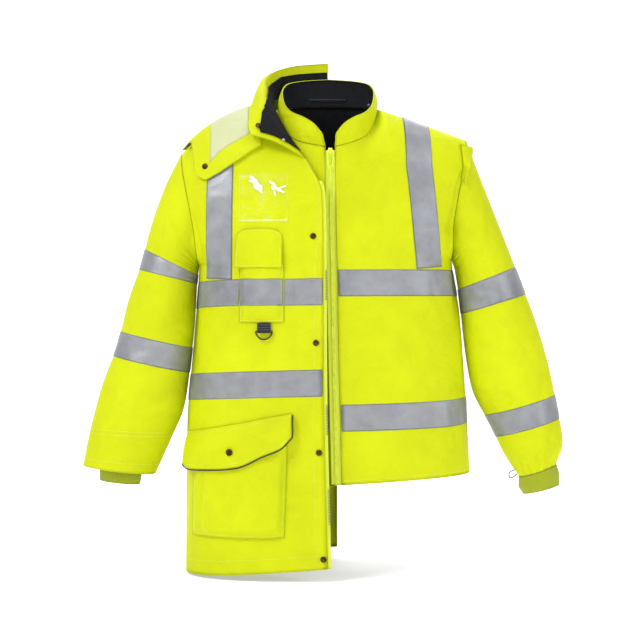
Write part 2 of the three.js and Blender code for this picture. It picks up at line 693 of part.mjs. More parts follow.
// Elastic loop that ties the left cuff into the coat's sleeve.
const loopPath = table('x z', [
  [363, -671.5],
  [355, -675],
  [351.5, -681],
  [354.5, -687.5],
  [361, -685],
  [366.5, -679.8],
]);
const loopPoints = spread(0, loopPath.length - 1, 10).map((t) => {
  const q = smooth(loopPath, t);
  return V(q.x, -46, q.z);
});
add('cuff_loop', bar(loopPoints, 1.2, 6), FLEECE, 0.9);

// Free edge of the inner jacket's shoulder, standing over the head of the zip-off sleeve.
const FLANGE_WALL = 1.4;
const flangeTurns = spread(0.3, 0.7, 16);
function rowAtHeight(panel, z) {
  let low = ARMPIT;
  let high = TOP;
  const line = panelPoint(panel, 1);
  for (let k = 0; k < 30; k += 1) {
    const middle = (low + high) / 2;
    if (line(1, middle).z < z) low = middle; else high = middle;
  }
  return low;
}
const flangeGrid = (extra) => [0, 1, 2].map((w) => flangeTurns.map((a) => {
  const onFront = a <= 0.5;
  const v = rowAtHeight(onFront ? innerFront : innerBack, leftHole(a).z);
  const surf = onFront ? jacketLeft : jacketBack;
  if (w === 0) return surf.at(0.93, v, 2.4 + extra);
  if (w === 1) return surf.at(1, v, 4.6 + extra);
  return sleeveLeft.at(a, 0.2, 6.6 + extra);
}));
add('shoulder_flange', wallGeometry(flangeGrid(FLANGE_WALL), flangeGrid(0), false), HI_VIS);

// The panel coordinates of the place at (x, z) seen from the front or back.
function spot(surf, x, z) {
  const us = [surf.us.find((u) => u >= 0), surf.us[surf.us.length - 1]];
  const seek = (low, high, test) => {
    let [a, b] = [low, high];
    for (let k = 0; k < 22; k += 1) {
      const middle = (a + b) / 2;
      if (test(middle)) a = middle; else b = middle;
    }
    return (a + b) / 2;
  };
  let [u, v] = [0.5, 3];
  for (let k = 0; k < 5; k += 1) {
    v = seek(0, TOP - 0.02, (t) => surf.at(u, t).z < z);
    u = seek(us[0], us[1], (t) => Math.abs(surf.at(t, v).x) < Math.abs(x));
  }
  return [u, v];
}

// A band of tape round a panel from u0 to u1, its upper edge at height topA and then topB.
function tapeRound(surf, u0, u1, topA, topB, lift = TAPE_LIFT) {
  const rowAt = (u, z) => {
    let [low, high] = [0, TOP - 0.5];
    for (let k = 0; k < 24; k += 1) {
      const middle = (low + high) / 2;
      if (surf.at(u, middle).z < z) low = middle; else high = middle;
    }
    return low;
  };
  const ss = [u0, ...surf.us.filter((u) => u > u0 + 0.015 && u < u1 - 0.015), u1];
  const place = (u, t) => {
    const upper = mix(topA, topB, (u - u0) / (u1 - u0));
    return [u, rowAt(u, upper - TAPE_WIDTH * (1 - t))];
  };
  return patch(surf, ss, [0, 0.5, 1], place, () => lift, TAPE_WALL);
}

const BRACE_LIFT = 1.7;       // a brace bridges the hollows of the chest

// A brace: tape up a panel from row v0 to v1, its middle at x0 and then x1.
function tapeUp(surf, v0, v1, x0, x1, lift = BRACE_LIFT) {
  const uAt = (v, x) => {
    let [low, high] = [0, 1];
    for (let k = 0; k < 24; k += 1) {
      const middle = (low + high) / 2;
      if (Math.abs(surf.at(middle, v).x) < x) low = middle; else high = middle;
    }
    return low;
  };
  const ts = [v0, ...surf.vs.filter((v) => v > v0 + 0.1 && v < v1 - 0.1), v1];
  const place = (s, v) => {
    const middle = mix(x0, x1, (v - v0) / (v1 - v0));
    return [uAt(v, middle + TAPE_WIDTH * (s - 0.5)), v];
  };
  return patch(surf, [0, 0.25, 0.5, 0.75, 1], ts, place, () => lift, TAPE_WALL);
}

// A band of tape round a sleeve, square to it, between two ring numbers.
function tapeRing(surf, r0, r1) {
  const ss = surf.us;
  return patch(surf, ss, [r0, (r0 + r1) / 2, r1], (a, r) => [a, r], () => TAPE_LIFT, TAPE_WALL, true);
}

// The row at which a brace ends, just above the band whose upper edge is at height z there.
const rowOver = (surf, xs, z) => Math.max(...xs.map((x) => spot(surf, x, z + 0.8)[1]));

const TAPE_LOOK = [TAPE_GREY, 0.45, 0.1];
const coatFrontFoot = rowOver(coatFront, [-182, -205, -228], -305);
add('coat_tape_brace_front', tapeUp(coatFront, coatFrontFoot, 7.2, 207, 205), ...TAPE_LOOK);
add('coat_tape_waist_front', tapeRound(coatFront, 0.003, 0.985, -474, -487), ...TAPE_LOOK);
add('coat_tape_waist_back', tapeRound(coatBack, 0.01, 0.985, -476, -487), ...TAPE_LOOK);
add('coat_tape_chest_back', tapeRound(coatBack, 0.01, 0.96, -304, -309), ...TAPE_LOOK);
const coatBackFoot = rowOver(coatBack, [-166, -190, -214], -305);
add('coat_tape_brace_back', tapeUp(coatBack, coatBackFoot, 7.2, 190, 200), ...TAPE_LOOK);
add('coat_tape_sleeve_upper', tapeRing(sleeveCoat, 2.62, 3.22), ...TAPE_LOOK);
add('coat_tape_sleeve_lower', tapeRing(sleeveCoat, 4.72, 5.3), ...TAPE_LOOK);
add('jacket_tape_chest_front', tapeRound(jacketLeft, 0.003, 0.97, -286, -284), ...TAPE_LOOK);
add('jacket_tape_waist_front', tapeRound(jacketLeft, 0.003, 0.985, -541, -530), ...TAPE_LOOK);
const jacketFrontFoot = rowOver(jacketLeft, [170, 194, 218], -284.6);
add('jacket_tape_brace_front', tapeUp(jacketLeft, jacketFrontFoot, 7.88, 194, 170), ...TAPE_LOOK);
add('jacket_tape_waist_back', tapeRound(jacketBack, -0.96, 0.985, -531, -531), ...TAPE_LOOK);
add('jacket_tape_chest_back', tapeRound(jacketBack, -0.94, 0.92, -284, -284), ...TAPE_LOOK);
const jacketBackFoot = rowOver(jacketBack, [154, 178, 202], -284);
add('jacket_tape_brace_back', tapeUp(jacketBack, jacketBackFoot, 7.88, 178, 172), ...TAPE_LOOK);
add('jacket_tape_sleeve_upper', tapeRing(sleeveLeft, 2.78, 3.36), ...TAPE_LOOK);
add('jacket_tape_sleeve_lower', tapeRing(sleeveLeft, 5.68, 6.32), ...TAPE_LOOK);

// Pieces on the coat's front are placed by their real x and z, in millimetres.
// edges(s, t) gives x and z over the piece; height(s, t) its lift.
const onCoat = (ss, ts, edges, height, thick) => patch(
  coatFront, ss, ts, (s, t) => spot(coatFront, ...edges(s, t)), height, thick,
);
const unit = (steps) => spread(0, 1, steps);
const box = (x0, x1, z0, z1) => (s, t) => [mix(x0, x1, s), mix(z0, z1, t)];

// Phone pocket with its domed flap, and the clear card pocket above it.
const pocketEdges = box(-166, -83, -385, -276);
const raise = (s, t, high, margin = 0.16) => high * clamp(Math.min(s, 1 - s) / margin, 0, 1);
add('phone_pocket', onCoat([0, 0.16, 0.5, 0.84, 1], [0, 0.12, 0.3, 0.5, 0.75, 1], pocketEdges,
  (s, t) => 1.2 + raise(s, t, 5) * clamp(t / 0.12, 0.2, 1), 1.6), HI_VIS);
add('phone_pocket_flap', onCoat(unit(8), unit(6), (s, t) => {
  const round = 1 - (2 * s - 1) ** 4;
  return [mix(-172, -86, s), mix(-283, mix(-228, -209, Math.sqrt(Math.max(0, round))), t)];
}, (s, t) => mix(8.7, 2.2, t ** 2), 1.8), HI_VIS);
add('card_pocket', onCoat(unit(5), unit(5), box(-169, -75, -197, -103), () => 1.3, 0.8), 0xeef6c0, 0.12);
add('coat_tape_chest_pocket', onCoat([0.02, 0.16, 0.5, 0.84, 0.98], [0, 0.5, 1], (s, t) => {
  const [x] = pocketEdges(s, 0);
  return [x, mix(-354, -304, t)];
}, (s, t) => 1.2 + 1.6 + TAPE_LIFT + raise(s, t, 5), TAPE_WALL), ...TAPE_LOOK);
const uOf = (x, z) => spot(coatFront, x, z)[0];
add('coat_tape_chest_side', tapeRound(coatFront, uOf(-167.5, -330), 0.97, -304, -309), ...TAPE_LOOK);
const chestCentre = [uOf(-11, -330), uOf(-81.5, -330)];
add('coat_tape_chest_centre', tapeRound(coatFront, ...chestCentre, -303, -304), ...TAPE_LOOK);

// Cargo pocket with bellows, its flap and the dark cord sewn round the flap's edge.
add('cargo_pocket', onCoat([0, 0.1, 0.3, 0.5, 0.7, 0.9, 1], [0, 0.1, 0.4, 0.75, 1], (s, t) => {
  const x = mix(mix(-256, -249, t), mix(-82, -76, t), s);
  const sag = mix(-790, -786, s ** 8);
  return [x, mix(sag, -630 + 14 * s, t)];
}, (s, t) => 1.2 + raise(s, t, 11, 0.1) * clamp(t / 0.1, 0.15, 1), 1.8), HI_VIS);
const flapEdge = table('x top low', [
  [-264, -594, -652],
  [-246, -591, -663],
  [-205, -583, -661],
  [-165, -575, -656],
  [-122, -566, -636],
  [-84, -559, -618],
  [-68, -556, -598],
]);
const FLAP_LIFT = 18;         // clearance of the cargo flap over its full pocket
const flapHeight = (s, t) => mix(FLAP_LIFT, 2.4, t ** 3) * clamp(0.7 + 6 * Math.min(s, 1 - s), 0, 1);
const cargoFlap = (s, t) => {
  const row = smooth(flapEdge, s * (flapEdge.length - 1));
  return [row.x, mix(row.low, row.top, t)];
};
add('cargo_flap', onCoat(unit(12), unit(4), cargoFlap, flapHeight, 2), HI_VIS);
const PIPE = 1.5;             // radius of the piping
const pipeLine = [
  ...spread(0.02, 1, 16).map((s) => [s, 0]),
  ...spread(0.3, 0.92, 3).map((t) => [1, t]),
];
add('flap_piping', bar(pipeLine.map(([s, t]) => {
  const [x, z] = cargoFlap(s, t);
  const out = t > 0 ? [2.6, 0] : [s > 0.9 ? 1.8 * (s - 0.9) * 10 : 0, -2.6];
  return coatFront.at(...spot(coatFront, x + out[0], z + out[1]), flapHeight(s, t) + 1);
}), PIPE, 6), PIPING, 0.6);

// Press studs: a low domed cap, its back lift above the cloth.
function stud(name, surf, u, v, lift, radius = SNAP_RADIUS) {
  const profile = [[0, 0], [radius, 0], [radius, 0.9], [radius * 0.72, 2], [0, 2.3]];
  const geometry = new THREE.LatheGeometry(profile.map(([r, h]) => new THREE.Vector2(r, h)), 10);
  const mesh = add(name, geometry, SNAP_METAL, 0.35, 0.7);
  mesh.position.copy(surf.at(u, v, lift));
  mesh.quaternion.setFromUnitVectors(V(0, 1, 0), surf.normal(u, v));
}
const placketStuds = table('x z', [[-28, -223.5], [-22.5, -424], [-17, -629], [-8.6, -828]]);
placketStuds.forEach((s, k) => stud(`placket_stud_${k + 1}`, coatFront, ...spot(coatFront, s.x, s.z), 0.7));
stud('cargo_stud', coatFront, ...spot(coatFront, -178.6, -629), FLAP_LIFT + 1.7, 6.6);

// Strips along the front edges: zip tapes lie behind the folded edges, the chain between them.
function edgeStrip(surf, vs, x0, x1, back, thick) {
  const grid = (y) => vs.map((v) => [x0, (x0 + x1) / 2, x1].map((x) => {
    const p = surf.at(surf.us.find((u) => u >= 0), v);
    return p.add(V(x, back + y, 0));
  }));
  return wallGeometry(grid(0), grid(thick), false);
}
const EDGE_BACK = 3.2;        // depth of a zip tape behind the outer face of the front
const TAPE_CLOTH = 1.2;
const jacketVs = jacketLeft.vs.filter((v) => v < TOP - 0.2);
const half = ZIP_GAP / 2;
const TEETH = 3.2;            // half width of the closed chain's teeth
add('jacket_zip_tape', edgeStrip(jacketLeft, jacketVs, -half - 17, 7, EDGE_BACK + 0.8, TAPE_CLOTH), HI_VIS);
add('jacket_zip_chain', edgeStrip(jacketLeft, jacketVs, -half - TEETH, -half + TEETH, 1, 2.4), HI_VIS, 0.5);
const coatVs = coatFront.vs.filter((v) => v < TOP - 1.6);
add('coat_zip_tape', edgeStrip(coatFront, coatVs, -9, 6.5, EDGE_BACK, TAPE_CLOTH), HI_VIS);

// Zip slider: a body with an arch in front, and a wire pull that turns in the arch.
const zipTop = jacketLeft.at(0, TOP - 0.24).add(V(-half, 0, 0));
const PIN_FRONT = 5.2;        // height of the pin above the zip
const PIN_RADIUS = 1.1;
const PULL_WIDE = 12;
const PULL_LONG = 29;
const SLIDER_WIDE = 8;
// Shapes here are drawn with x as depth towards the front and y as height, and drawn out along X.
function drawnOut(outline, hole, wide, at) {
  const shape = new THREE.Shape(outline.map(([y, z]) => new THREE.Vector2(y, z)));
  const eye = new THREE.Path();
  eye.absarc(hole[0], hole[1], hole[2], 0, 2 * Math.PI, true);
  shape.holes.push(eye);
  const geometry = new THREE.ExtrudeGeometry(shape, { depth: wide, bevelEnabled: false, curveSegments: 6 });
  geometry.translate(0, 0, -wide / 2);
  const frame = new THREE.Matrix4().makeBasis(V(0, -1, 0), V(0, 0, 1), V(-1, 0, 0));
  geometry.applyMatrix4(frame.setPosition(at));
  return geometry;
}
const sliderOutline = [
  [0.6, -6], [1.6, -6], [3.4, -3.6], [7.6, -2],
  [7.6, 2], [3.4, 3.6], [1.6, 6], [0.6, 6],
];
const SLIDER_LOOK = [HI_VIS, 0.4];
const sliderEye = [PIN_FRONT, 0, PIN_RADIUS + 0.35];
add('jacket_zip_slider', drawnOut(sliderOutline, sliderEye, SLIDER_WIDE, zipTop), ...SLIDER_LOOK);
const below = jacketLeft.at(0, spot(jacketLeft, zipTop.x + half, zipTop.z - PULL_LONG)[1]);
const pullTilt = Math.max(0, Math.atan2(zipTop.y - below.y, PULL_LONG));
const pin = V(zipTop.x, zipTop.y - PIN_FRONT, zipTop.z);
const pullPath = [
  [-1, 0], [-0.5, 0], [0.5, 0], [1, 0], [1, 0.3],
  [0.8, 0.75], [0.6, 1], [-0.6, 1], [-0.8, 0.75], [-1, 0.3],
];
add('jacket_zip_pull', bar(pullPath.map(([s, t]) => V(
  pin.x + (PULL_WIDE * s) / 2,
  pin.y - PULL_LONG * t * Math.sin(pullTilt),
  pin.z - PULL_LONG * t * Math.cos(pullTilt),
)), PIN_RADIUS, 8, true), ...SLIDER_LOOK);

// Webbing tab below the phone pocket, and the ring that swings in its fold.
const RING_X = -120;
const RING_Z = -402.5;
const RING_WIRE = 1.5;
const RING_WIDE = 30;
const RING_DROP = 15;
const TAB_WIDE = 25;
const front = Math.min(...[-13, 0, 13].flatMap((dx) => [-387, -395, -403, -412, -419].map(
  (z) => coatFront.at(...spot(coatFront, RING_X + dx, z)).y,
)));
const tabOutline = [
  [0, 16], [0, -3.2], [1.6, -4.2], [5.2, -4.2], [7.2, -2],
  [7.2, 2], [5.2, 4], [3.2, 5], [3.2, 16],
];
const ringCentre = V(RING_X, front - 0.4, RING_Z);
add('d_ring_tab', drawnOut(tabOutline, [3.7, 0, RING_WIRE + 0.3], TAB_WIDE, ringCentre), FLEECE, 0.9);
const ringPath = [
  ...spread(-1, 1, 4).map((s) => [s, 0]),
  ...spread(0.12, 0.88, 9).map((t) => [Math.cos(Math.PI * t), Math.sin(Math.PI * t)]),
];
add('d_ring', bar(ringPath.map(([s, t]) => V(
  RING_X + (RING_WIDE * s) / 2, ringCentre.y - 3.7, RING_Z - RING_DROP * t,
)), RING_WIRE, 8, true), FLEECE, 0.4);

// Flap over the coat's shoulder: from its front edge at t = -1 over the ridge to the back at 1.
// The rows are places on its front edge, from the collar out to its corner and the sleeve.
const flapFront = table('x z', [
  [-128, -50], [-156, -69], [-184, -87], [-212, -104], [-233, -114], [-252, -100],
]);
function overShoulder(s, t, lift) {
  const row = smooth(flapFront, s * (flapFront.length - 1));
  const [frontU, frontV] = spot(coatFront, row.x, row.z);
  const u = mix(mix(0.44, 0.98, s), t < 0 ? frontU : mix(0.44, 0.9, s), Math.abs(t));
  const v = mix(TOP, t < 0 ? frontV : 7.4, Math.abs(t));
  if (t < 0) return coatFront.at(u, v, lift);
  if (t > 0) return coatBack.at(u, v, lift);
  return coatFront.at(u, v, lift).add(coatBack.at(u, v, lift)).multiplyScalar(0.5);
}
const shoulderGrid = (ss, ts, lift) => ts.map((t) => ss.map((s) => overShoulder(s, t, lift)));
function shoulderPiece(ss, ts, lift, thick) {
  return wallGeometry(shoulderGrid(ss, ts, lift + thick), shoulderGrid(ss, ts, lift), false);
}
const SHOULDER_LIFT = 4.6;
add('shoulder_flap', shoulderPiece(unit(8), spread(-1, 1, 10), SHOULDER_LIFT, 1.6), HI_VIS);
const panelLift = SHOULDER_LIFT + 2;
const palePanel = shoulderPiece(spread(1 / 8, 5 / 8, 4), spread(-0.8, 0, 4), panelLift, 0.8);
add('shoulder_flap_panel', palePanel, PALE_PANEL);
stud('shoulder_stud_1', coatFront, ...spot(coatFront, -264, -46), panelLift - 0.5);
stud('shoulder_stud_2', coatFront, ...spot(coatFront, -232, -89), panelLift + 0.3);

// Tape of the right front, where it shows between the coat's edge and the zip.
add('jacket_tape_chest_right', tapeRound(jacketRight, 0.003, 0.3, -286, -285), ...TAPE_LOOK);
add('jacket_tape_waist_right', tapeRound(jacketRight, 0.003, 0.3, -541, -538), ...TAPE_LOOK);

export default group;
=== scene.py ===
"""Layered hi-vis work jacket: the right half of a long outer coat over a whole fleece-lined jacket.

Lengths inside the pattern functions are millimetres; meshes are made in metres.
"""
import math

import bmesh
import bpy
import numpy as np
from bpy.props import FloatProperty, FloatVectorProperty, IntProperty, PointerProperty
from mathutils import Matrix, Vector


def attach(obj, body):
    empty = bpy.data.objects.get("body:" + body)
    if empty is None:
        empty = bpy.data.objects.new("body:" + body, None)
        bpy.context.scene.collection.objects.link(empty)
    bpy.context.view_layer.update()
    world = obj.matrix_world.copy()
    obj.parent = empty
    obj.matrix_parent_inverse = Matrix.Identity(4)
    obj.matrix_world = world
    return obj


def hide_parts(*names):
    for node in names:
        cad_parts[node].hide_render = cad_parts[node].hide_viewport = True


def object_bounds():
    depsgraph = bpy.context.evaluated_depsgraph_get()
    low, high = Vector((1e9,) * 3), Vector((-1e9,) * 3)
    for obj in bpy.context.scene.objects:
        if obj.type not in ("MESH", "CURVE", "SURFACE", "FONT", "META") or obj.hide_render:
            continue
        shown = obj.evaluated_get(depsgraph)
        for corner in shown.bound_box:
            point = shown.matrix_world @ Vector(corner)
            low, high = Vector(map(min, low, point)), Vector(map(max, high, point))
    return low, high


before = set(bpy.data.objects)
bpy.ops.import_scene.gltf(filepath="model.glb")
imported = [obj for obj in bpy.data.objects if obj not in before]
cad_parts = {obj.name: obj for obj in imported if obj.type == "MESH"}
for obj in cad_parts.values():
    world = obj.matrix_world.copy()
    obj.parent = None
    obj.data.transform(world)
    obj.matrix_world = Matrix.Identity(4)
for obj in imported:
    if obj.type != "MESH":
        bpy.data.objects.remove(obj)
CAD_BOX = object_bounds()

bl_info = {
    "name": "Hi-vis Work Jacket",
    "version": (1, 0, 0),
    "blender": (4, 5, 0),
    "location": "View3D > Sidebar > Jacket",
    "description": "Makes a layered hi-vis work jacket with tape, pockets, zips and press studs",
    "category": "Mesh",
}

MM = 0.001
SHELL = 2.4          # wall of the outer coat
JACKET = 2.4         # wall of the inner jacket
ARMPIT = 4           # row of a panel at the armpit
TOP = 8              # row of a panel at its top
FRONT_SHARE = 0.56   # share of a collar's length that lies on the front
BODY = "jacket"


# Pattern tables and smooth curves

class Table:
    """Rows with named columns, read at any row number with no overshoot past a row."""

    def __init__(self, columns, rows):
        self.names = columns.split()
        self.data = np.array(rows, float)
        step = np.diff(self.data, axis=0)
        slope = np.zeros_like(self.data)
        slope[0] = step[0]
        slope[-1] = step[-1]
        if len(step) > 1:
            before, after = step[:-1], step[1:]
            both = before * after
            total = np.where(np.abs(before + after) < 1e-9, 1.0, before + after)
            slope[1:-1] = np.where(both > 0, 2 * both / total, 0)
        self.slope = slope

    def at(self, t):
        t = np.asarray(t, float)
        last = len(self.data) - 1
        i = np.clip(np.floor(t).astype(int), 0, last - 1)
        f = (np.clip(t, 0, last) - i)[..., None]
        f2, f3 = f * f, f * f * f
        a, b = self.data[i], self.data[i + 1]
        values = a * (2 * f3 - 3 * f2 + 1) + b * (3 * f2 - 2 * f3)
        values = values + self.slope[i] * (f3 - 2 * f2 + f) + self.slope[i + 1] * (f3 - f2)
        return {name: values[..., k] for k, name in enumerate(self.names)}

    def column(self, name):
        return self.data[:, self.names.index(name)]


def mix(a, b, t):
    return a + (b - a) * t


def clamp(x, low=0.0, high=1.0):
    return np.minimum(high, np.maximum(low, x))


def ease(x):
    x = clamp(x)
    return x * x * (3 - 2 * x)


def xyz(x, y, z):
    return np.stack(np.broadcast_arrays(x, y, z), axis=-1).astype(float)


def unit(v):
    return v / np.maximum(np.linalg.norm(v, axis=-1, keepdims=True), 1e-9)


FOLD = "u0 v0 u1 v1 width depth"


def fold_depth(folds, u, v, per_u, per_v):
    """Height left by folds that run from (u0, v0) to (u1, v1); a positive depth is a hollow."""
    total = np.zeros(np.broadcast(u, v).shape)
    for u0, v0, u1, v1, width, depth in folds.data:
        ax, ay = (u1 - u0) * per_u, (v1 - v0) * per_v
        px, py = (u - u0) * per_u, (v - v0) * per_v
        along = clamp((px * ax + py * ay) / (ax * ax + ay * ay))
        away = np.hypot(px - along * ax, py - along * ay)
        total -= depth * np.exp(-((away / width) ** 2)) * (0.35 + 0.65 * np.sin(math.pi * along))
    return total


def crease_height(creases, u, v, per_u, per_v):
    """Height left by sharp creases: a narrow hollow with a softer ridge along one side."""
    total = np.zeros(np.broadcast(u, v).shape)
    for u0, v0, u1, v1, width, depth in creases.data:
        ax, ay = (u1 - u0) * per_u, (v1 - v0) * per_v
        length = math.hypot(ax, ay)
        px, py = (u - u0) * per_u, (v - v0) * per_v
        run = (px * ax + py * ay) / (length * length)
        bow = 0.07 * length * np.sin(math.pi * clamp(run))
        away = (px * ay - py * ax) / length - bow
        ends = ease((run + 0.12) / 0.3) * ease((1.12 - run) / 0.4)
        hollow = np.exp(-((away / width) ** 2))
        ridge = np.exp(-(((away - 1.7 * width) / (1.2 * width)) ** 2))
        total += depth * ends * (0.62 * ridge - hollow)
    return total


class Surface:
    """A smooth surface over the lines us and vs, with points and outward normals."""

    def __init__(self, point, us, vs, core, push=None, closed=False):
        self.us, self.vs, self.closed = np.asarray(us, float), np.asarray(vs, float), closed
        u, v = np.meshgrid(self.us, self.vs)
        step = 0.004
        p = point(u, v)
        low_u, high_u = (u - step, u + step) if closed else (
            np.maximum(self.us[0], u - step), np.minimum(self.us[-1], u + step))
        du = point(high_u, v) - point(low_u, v)
        dv = point(u, np.minimum(self.vs[-1], v + step)) - point(u, np.maximum(self.vs[0], v - step))
        n = unit(np.cross(du, dv))
        facing = np.sum(n * (p - core(p, u, v)))
        n = n * math.copysign(1.0, facing)
        self.smooth_p, self.smooth_n = p, n
        if push is not None:
            p = p + n * push(u, v)[..., None]
        self.p = p
        self.n = self.measured_normals(n)

    def measured_normals(self, guide):
        """Normals of the pushed surface, turned the same way as the guide."""
        if self.closed:
            ring = np.concatenate([self.p[:, -2:-1], self.p, self.p[:, 1:2]], axis=1)
            du = ring[:, 2:] - ring[:, :-2]
        else:
            du = np.gradient(self.p, axis=1)
        dv = np.gradient(self.p, axis=0)
        n = unit(np.cross(du, dv))
        turn = np.sign(np.sum(n * guide, axis=-1, keepdims=True))
        n = np.where(turn == 0, guide, n * turn)
        flat = np.sum(n * guide, axis=-1, keepdims=True) < 0.3
        return np.where(flat, guide, n)

    def find(self, lines, x):
        k = np.clip(np.searchsorted(lines, x, side="right") - 1, 0, len(lines) - 2)
        return k, clamp((x - lines[k]) / (lines[k + 1] - lines[k]))

    def at(self, u, v, lift=0.0, folded=True):
        u, v = np.broadcast_arrays(np.asarray(u, float), np.asarray(v, float))
        j, s = self.find(self.us, u % 1.0 if self.closed else u)
        i, t = self.find(self.vs, v)
        s, t = s[..., None], t[..., None]

        def blend(grid):
            low = grid[i, j] * (1 - s) + grid[i, j + 1] * s
            high = grid[i + 1, j] * (1 - s) + grid[i + 1, j + 1] * s
            return low * (1 - t) + high * t

        p = blend(self.p if folded else self.smooth_p)
        n = unit(blend(self.n if folded else self.smooth_n))
        return p + n * np.asarray(lift, float)[..., None]

    def normal(self, u, v):
        return unit(self.at(u, v, 1.0) - self.at(u, v, 0.0))


def lines(*stops):
    """Even lines between stops given as value, count, value, count, ... value."""
    out = [stops[0]]
    for k in range(1, len(stops) - 1, 2):
        out += list(np.linspace(stops[k - 1], stops[k + 1], stops[k] + 1)[1:])
    return np.array(out)


# Body panels

SECTION = "ex ey ez sx sy sz round"


class Panel:
    def __init__(self, rows, neck, tip, bow, neck_share):
        self.rows = Table(SECTION, rows)
        self.neck = Table("x y z", neck)
        self.tip, self.bow, self.neck_share = np.array(tip, float), bow, neck_share


INNER_NECK = [[14.5, -100, -50], [50, -93, -40], [76, -72, -24], [91, -38, 4], [96, 2, 33]]
INNER_ROWS = [
    [26.5, -135, -692, 279, -0.3, -677, 2.5],
    [24, -137, -588, 274, -0.3, -588, 2.5],
    [21.5, -134, -481, 267, -0.3, -481, 2.5],
    [19.5, -130, -380, 259, -0.3, -372, 2.4],
    [18, -126, -287, 244, -0.3, -262, 2.3],
    [16.5, -121, -215, 243.5, -52, -205, 1.9],
    [15.5, -113, -145, 251, -66, -145, 1.7],
    [14.5, -104, -88, 263, -58, -88, 1.5],
]
ZIP_GAP = 20.0
SQUEEZE = 0.93
inner_front = Panel(INNER_ROWS, INNER_NECK, (272, 2, -28), 0, 0.38)
inner_front_right = Panel(
    [[ZIP_GAP - r[0]] + r[1:] for r in INNER_ROWS],
    [[ZIP_GAP - INNER_NECK[0][0]] + INNER_NECK[0][1:]] + INNER_NECK[1:], (272, 2, -28), 0, 0.38)
inner_back = Panel([
    [0, 150, -725, 279, 0.3, -677, 2.5],
    [0, 146, -612, 274, 0.3, -588, 2.5],
    [0, 140, -490, 267, 0.3, -481, 2.5],
    [0, 135, -378, 259, 0.3, -372, 2.4],
    [0, 134, -268, 244, 0.3, -262, 2.3],
    [0, 133, -195, 243.5, 50, -205, 1.9],
    [0, 126, -120, 251, 62, -145, 1.7],
    [0, 112, -40, 263, 54, -88, 1.5],
], [[0, 76, 48], [40, 71, 46], [72, 50, 42], [91, 26, 38], [96, 2.6, 33]], (272, 2.6, -28), 0, 0.38)
outer_front = Panel([
    [0.5, -165, -846, 277.6, -0.3, -868, 2.6],
    [4, -165, -717, 277.6, -0.3, -735, 2.6],
    [7, -162, -590, 275.5, -0.3, -592, 2.6],
    [8.6, -158, -450, 264, -0.3, -440, 2.5],
    [9, -150, -285, 252.5, -0.3, -274, 2.4],
    [9.5, -145, -212, 258, -66, -215, 2],
    [12, -137, -140, 268, -76, -155, 1.8],
    [34, -124, -88, 279, -62, -102, 1.6],
], [[46, -119, -75], [72, -101, -42], [97, -64, 3], [109, -28, 32], [111, 2, 48]], (288, 2, -56), 16, 0.36)
outer_back = Panel([
    [-20, 165, -850, 277.6, 0.3, -868, 2.6],
    [-20, 164, -725, 277.6, 0.3, -735, 2.6],
    [-20, 161, -590, 275.5, 0.3, -592, 2.6],
    [-20, 156, -445, 264, 0.3, -440, 2.5],
    [-14, 153, -280, 252.5, 0.3, -274, 2.4],
    [-9, 151, -205, 258, 66, -215, 2],
    [-4, 144, -125, 268, 74, -155, 1.8],
    [0, 130, -35, 279, 62, -102, 1.6],
], [[0, 95, 62], [38, 92, 61], [72, 74, 57], [103, 42, 56], [111, 2.6, 48]], (288, 2.6, -56), 16, 0.36)


def panel_point(panel, side, narrow=1.0):
    """The point of a panel: sections from the hem up, a scooped armhole, a domed shoulder."""
    last = len(panel.rows.data) - 1
    deep = 1 - (1 - narrow) * 1.2
    tip = np.array([panel.tip[0] * narrow, panel.tip[1], panel.tip[2] - (1 - narrow) * 200])
    corner = panel.neck.data[-1]
    share = panel.neck_share
    foot = dict(zip(panel.rows.names, panel.rows.data[ARMPIT]))
    after = dict(zip(panel.rows.names, panel.rows.data[ARMPIT + 1]))

    def point(u, v):
        u, v = np.broadcast_arrays(np.asarray(u, float), np.asarray(v, float))
        s = panel.rows.at(np.minimum(v, last))
        turn = u * math.pi / 2
        across = np.sin(turn) ** (2 / s["round"])
        along = np.abs(np.cos(turn)) ** (2 / s["round"])
        edge_y = np.where(np.abs(s["sy"]) < 1, s["sy"], s["sy"] * deep)
        x = mix(s["ex"], s["sx"] * narrow, across)
        y = mix(edge_y, s["ey"], along)
        z = mix(s["ez"], s["sz"], across)
        scoop = clamp(v - ARMPIT) * math.pi / 2
        near = across ** 7 * ((v > ARMPIT) & (v < ARMPIT + 1))
        y = y + (mix(foot["sy"], after["sy"] * deep, np.sin(scoop)) - edge_y) * near
        z = z + (mix(foot["sz"], after["sz"], 1 - np.cos(scoop)) - s["sz"]) * near
        w = clamp(v - last)
        turned = w * math.pi / 2
        dome = clamp(u / share) ** 2
        n = panel.neck.at(clamp(u / share) * (len(panel.neck.data) - 1))
        q = clamp((u - share) / (1 - share))
        bow = panel.bow * np.sin(math.pi * q ** 1.3)
        on_neck = u < share
        tx = np.where(on_neck, n["x"], mix(corner[0], tip[0], q))
        ty = np.where(on_neck, n["y"], mix(corner[1], tip[1], q))
        tz = np.where(on_neck, n["z"], mix(corner[2], tip[2], q) + bow)
        back = mix(w, 1 - np.cos(turned), dome)
        rise = mix(w, np.sin(turned), dome)
        x, y, z = mix(x, tx, w), mix(y, ty, back), mix(z, tz, rise)
        return xyz(x * side, y, z)

    return point


def body_core(p, u, v):
    return xyz(0, 0, np.clip(p[..., 2], -600, -250))


# Large folds, as in the solids, and the sharper creases of the cloth

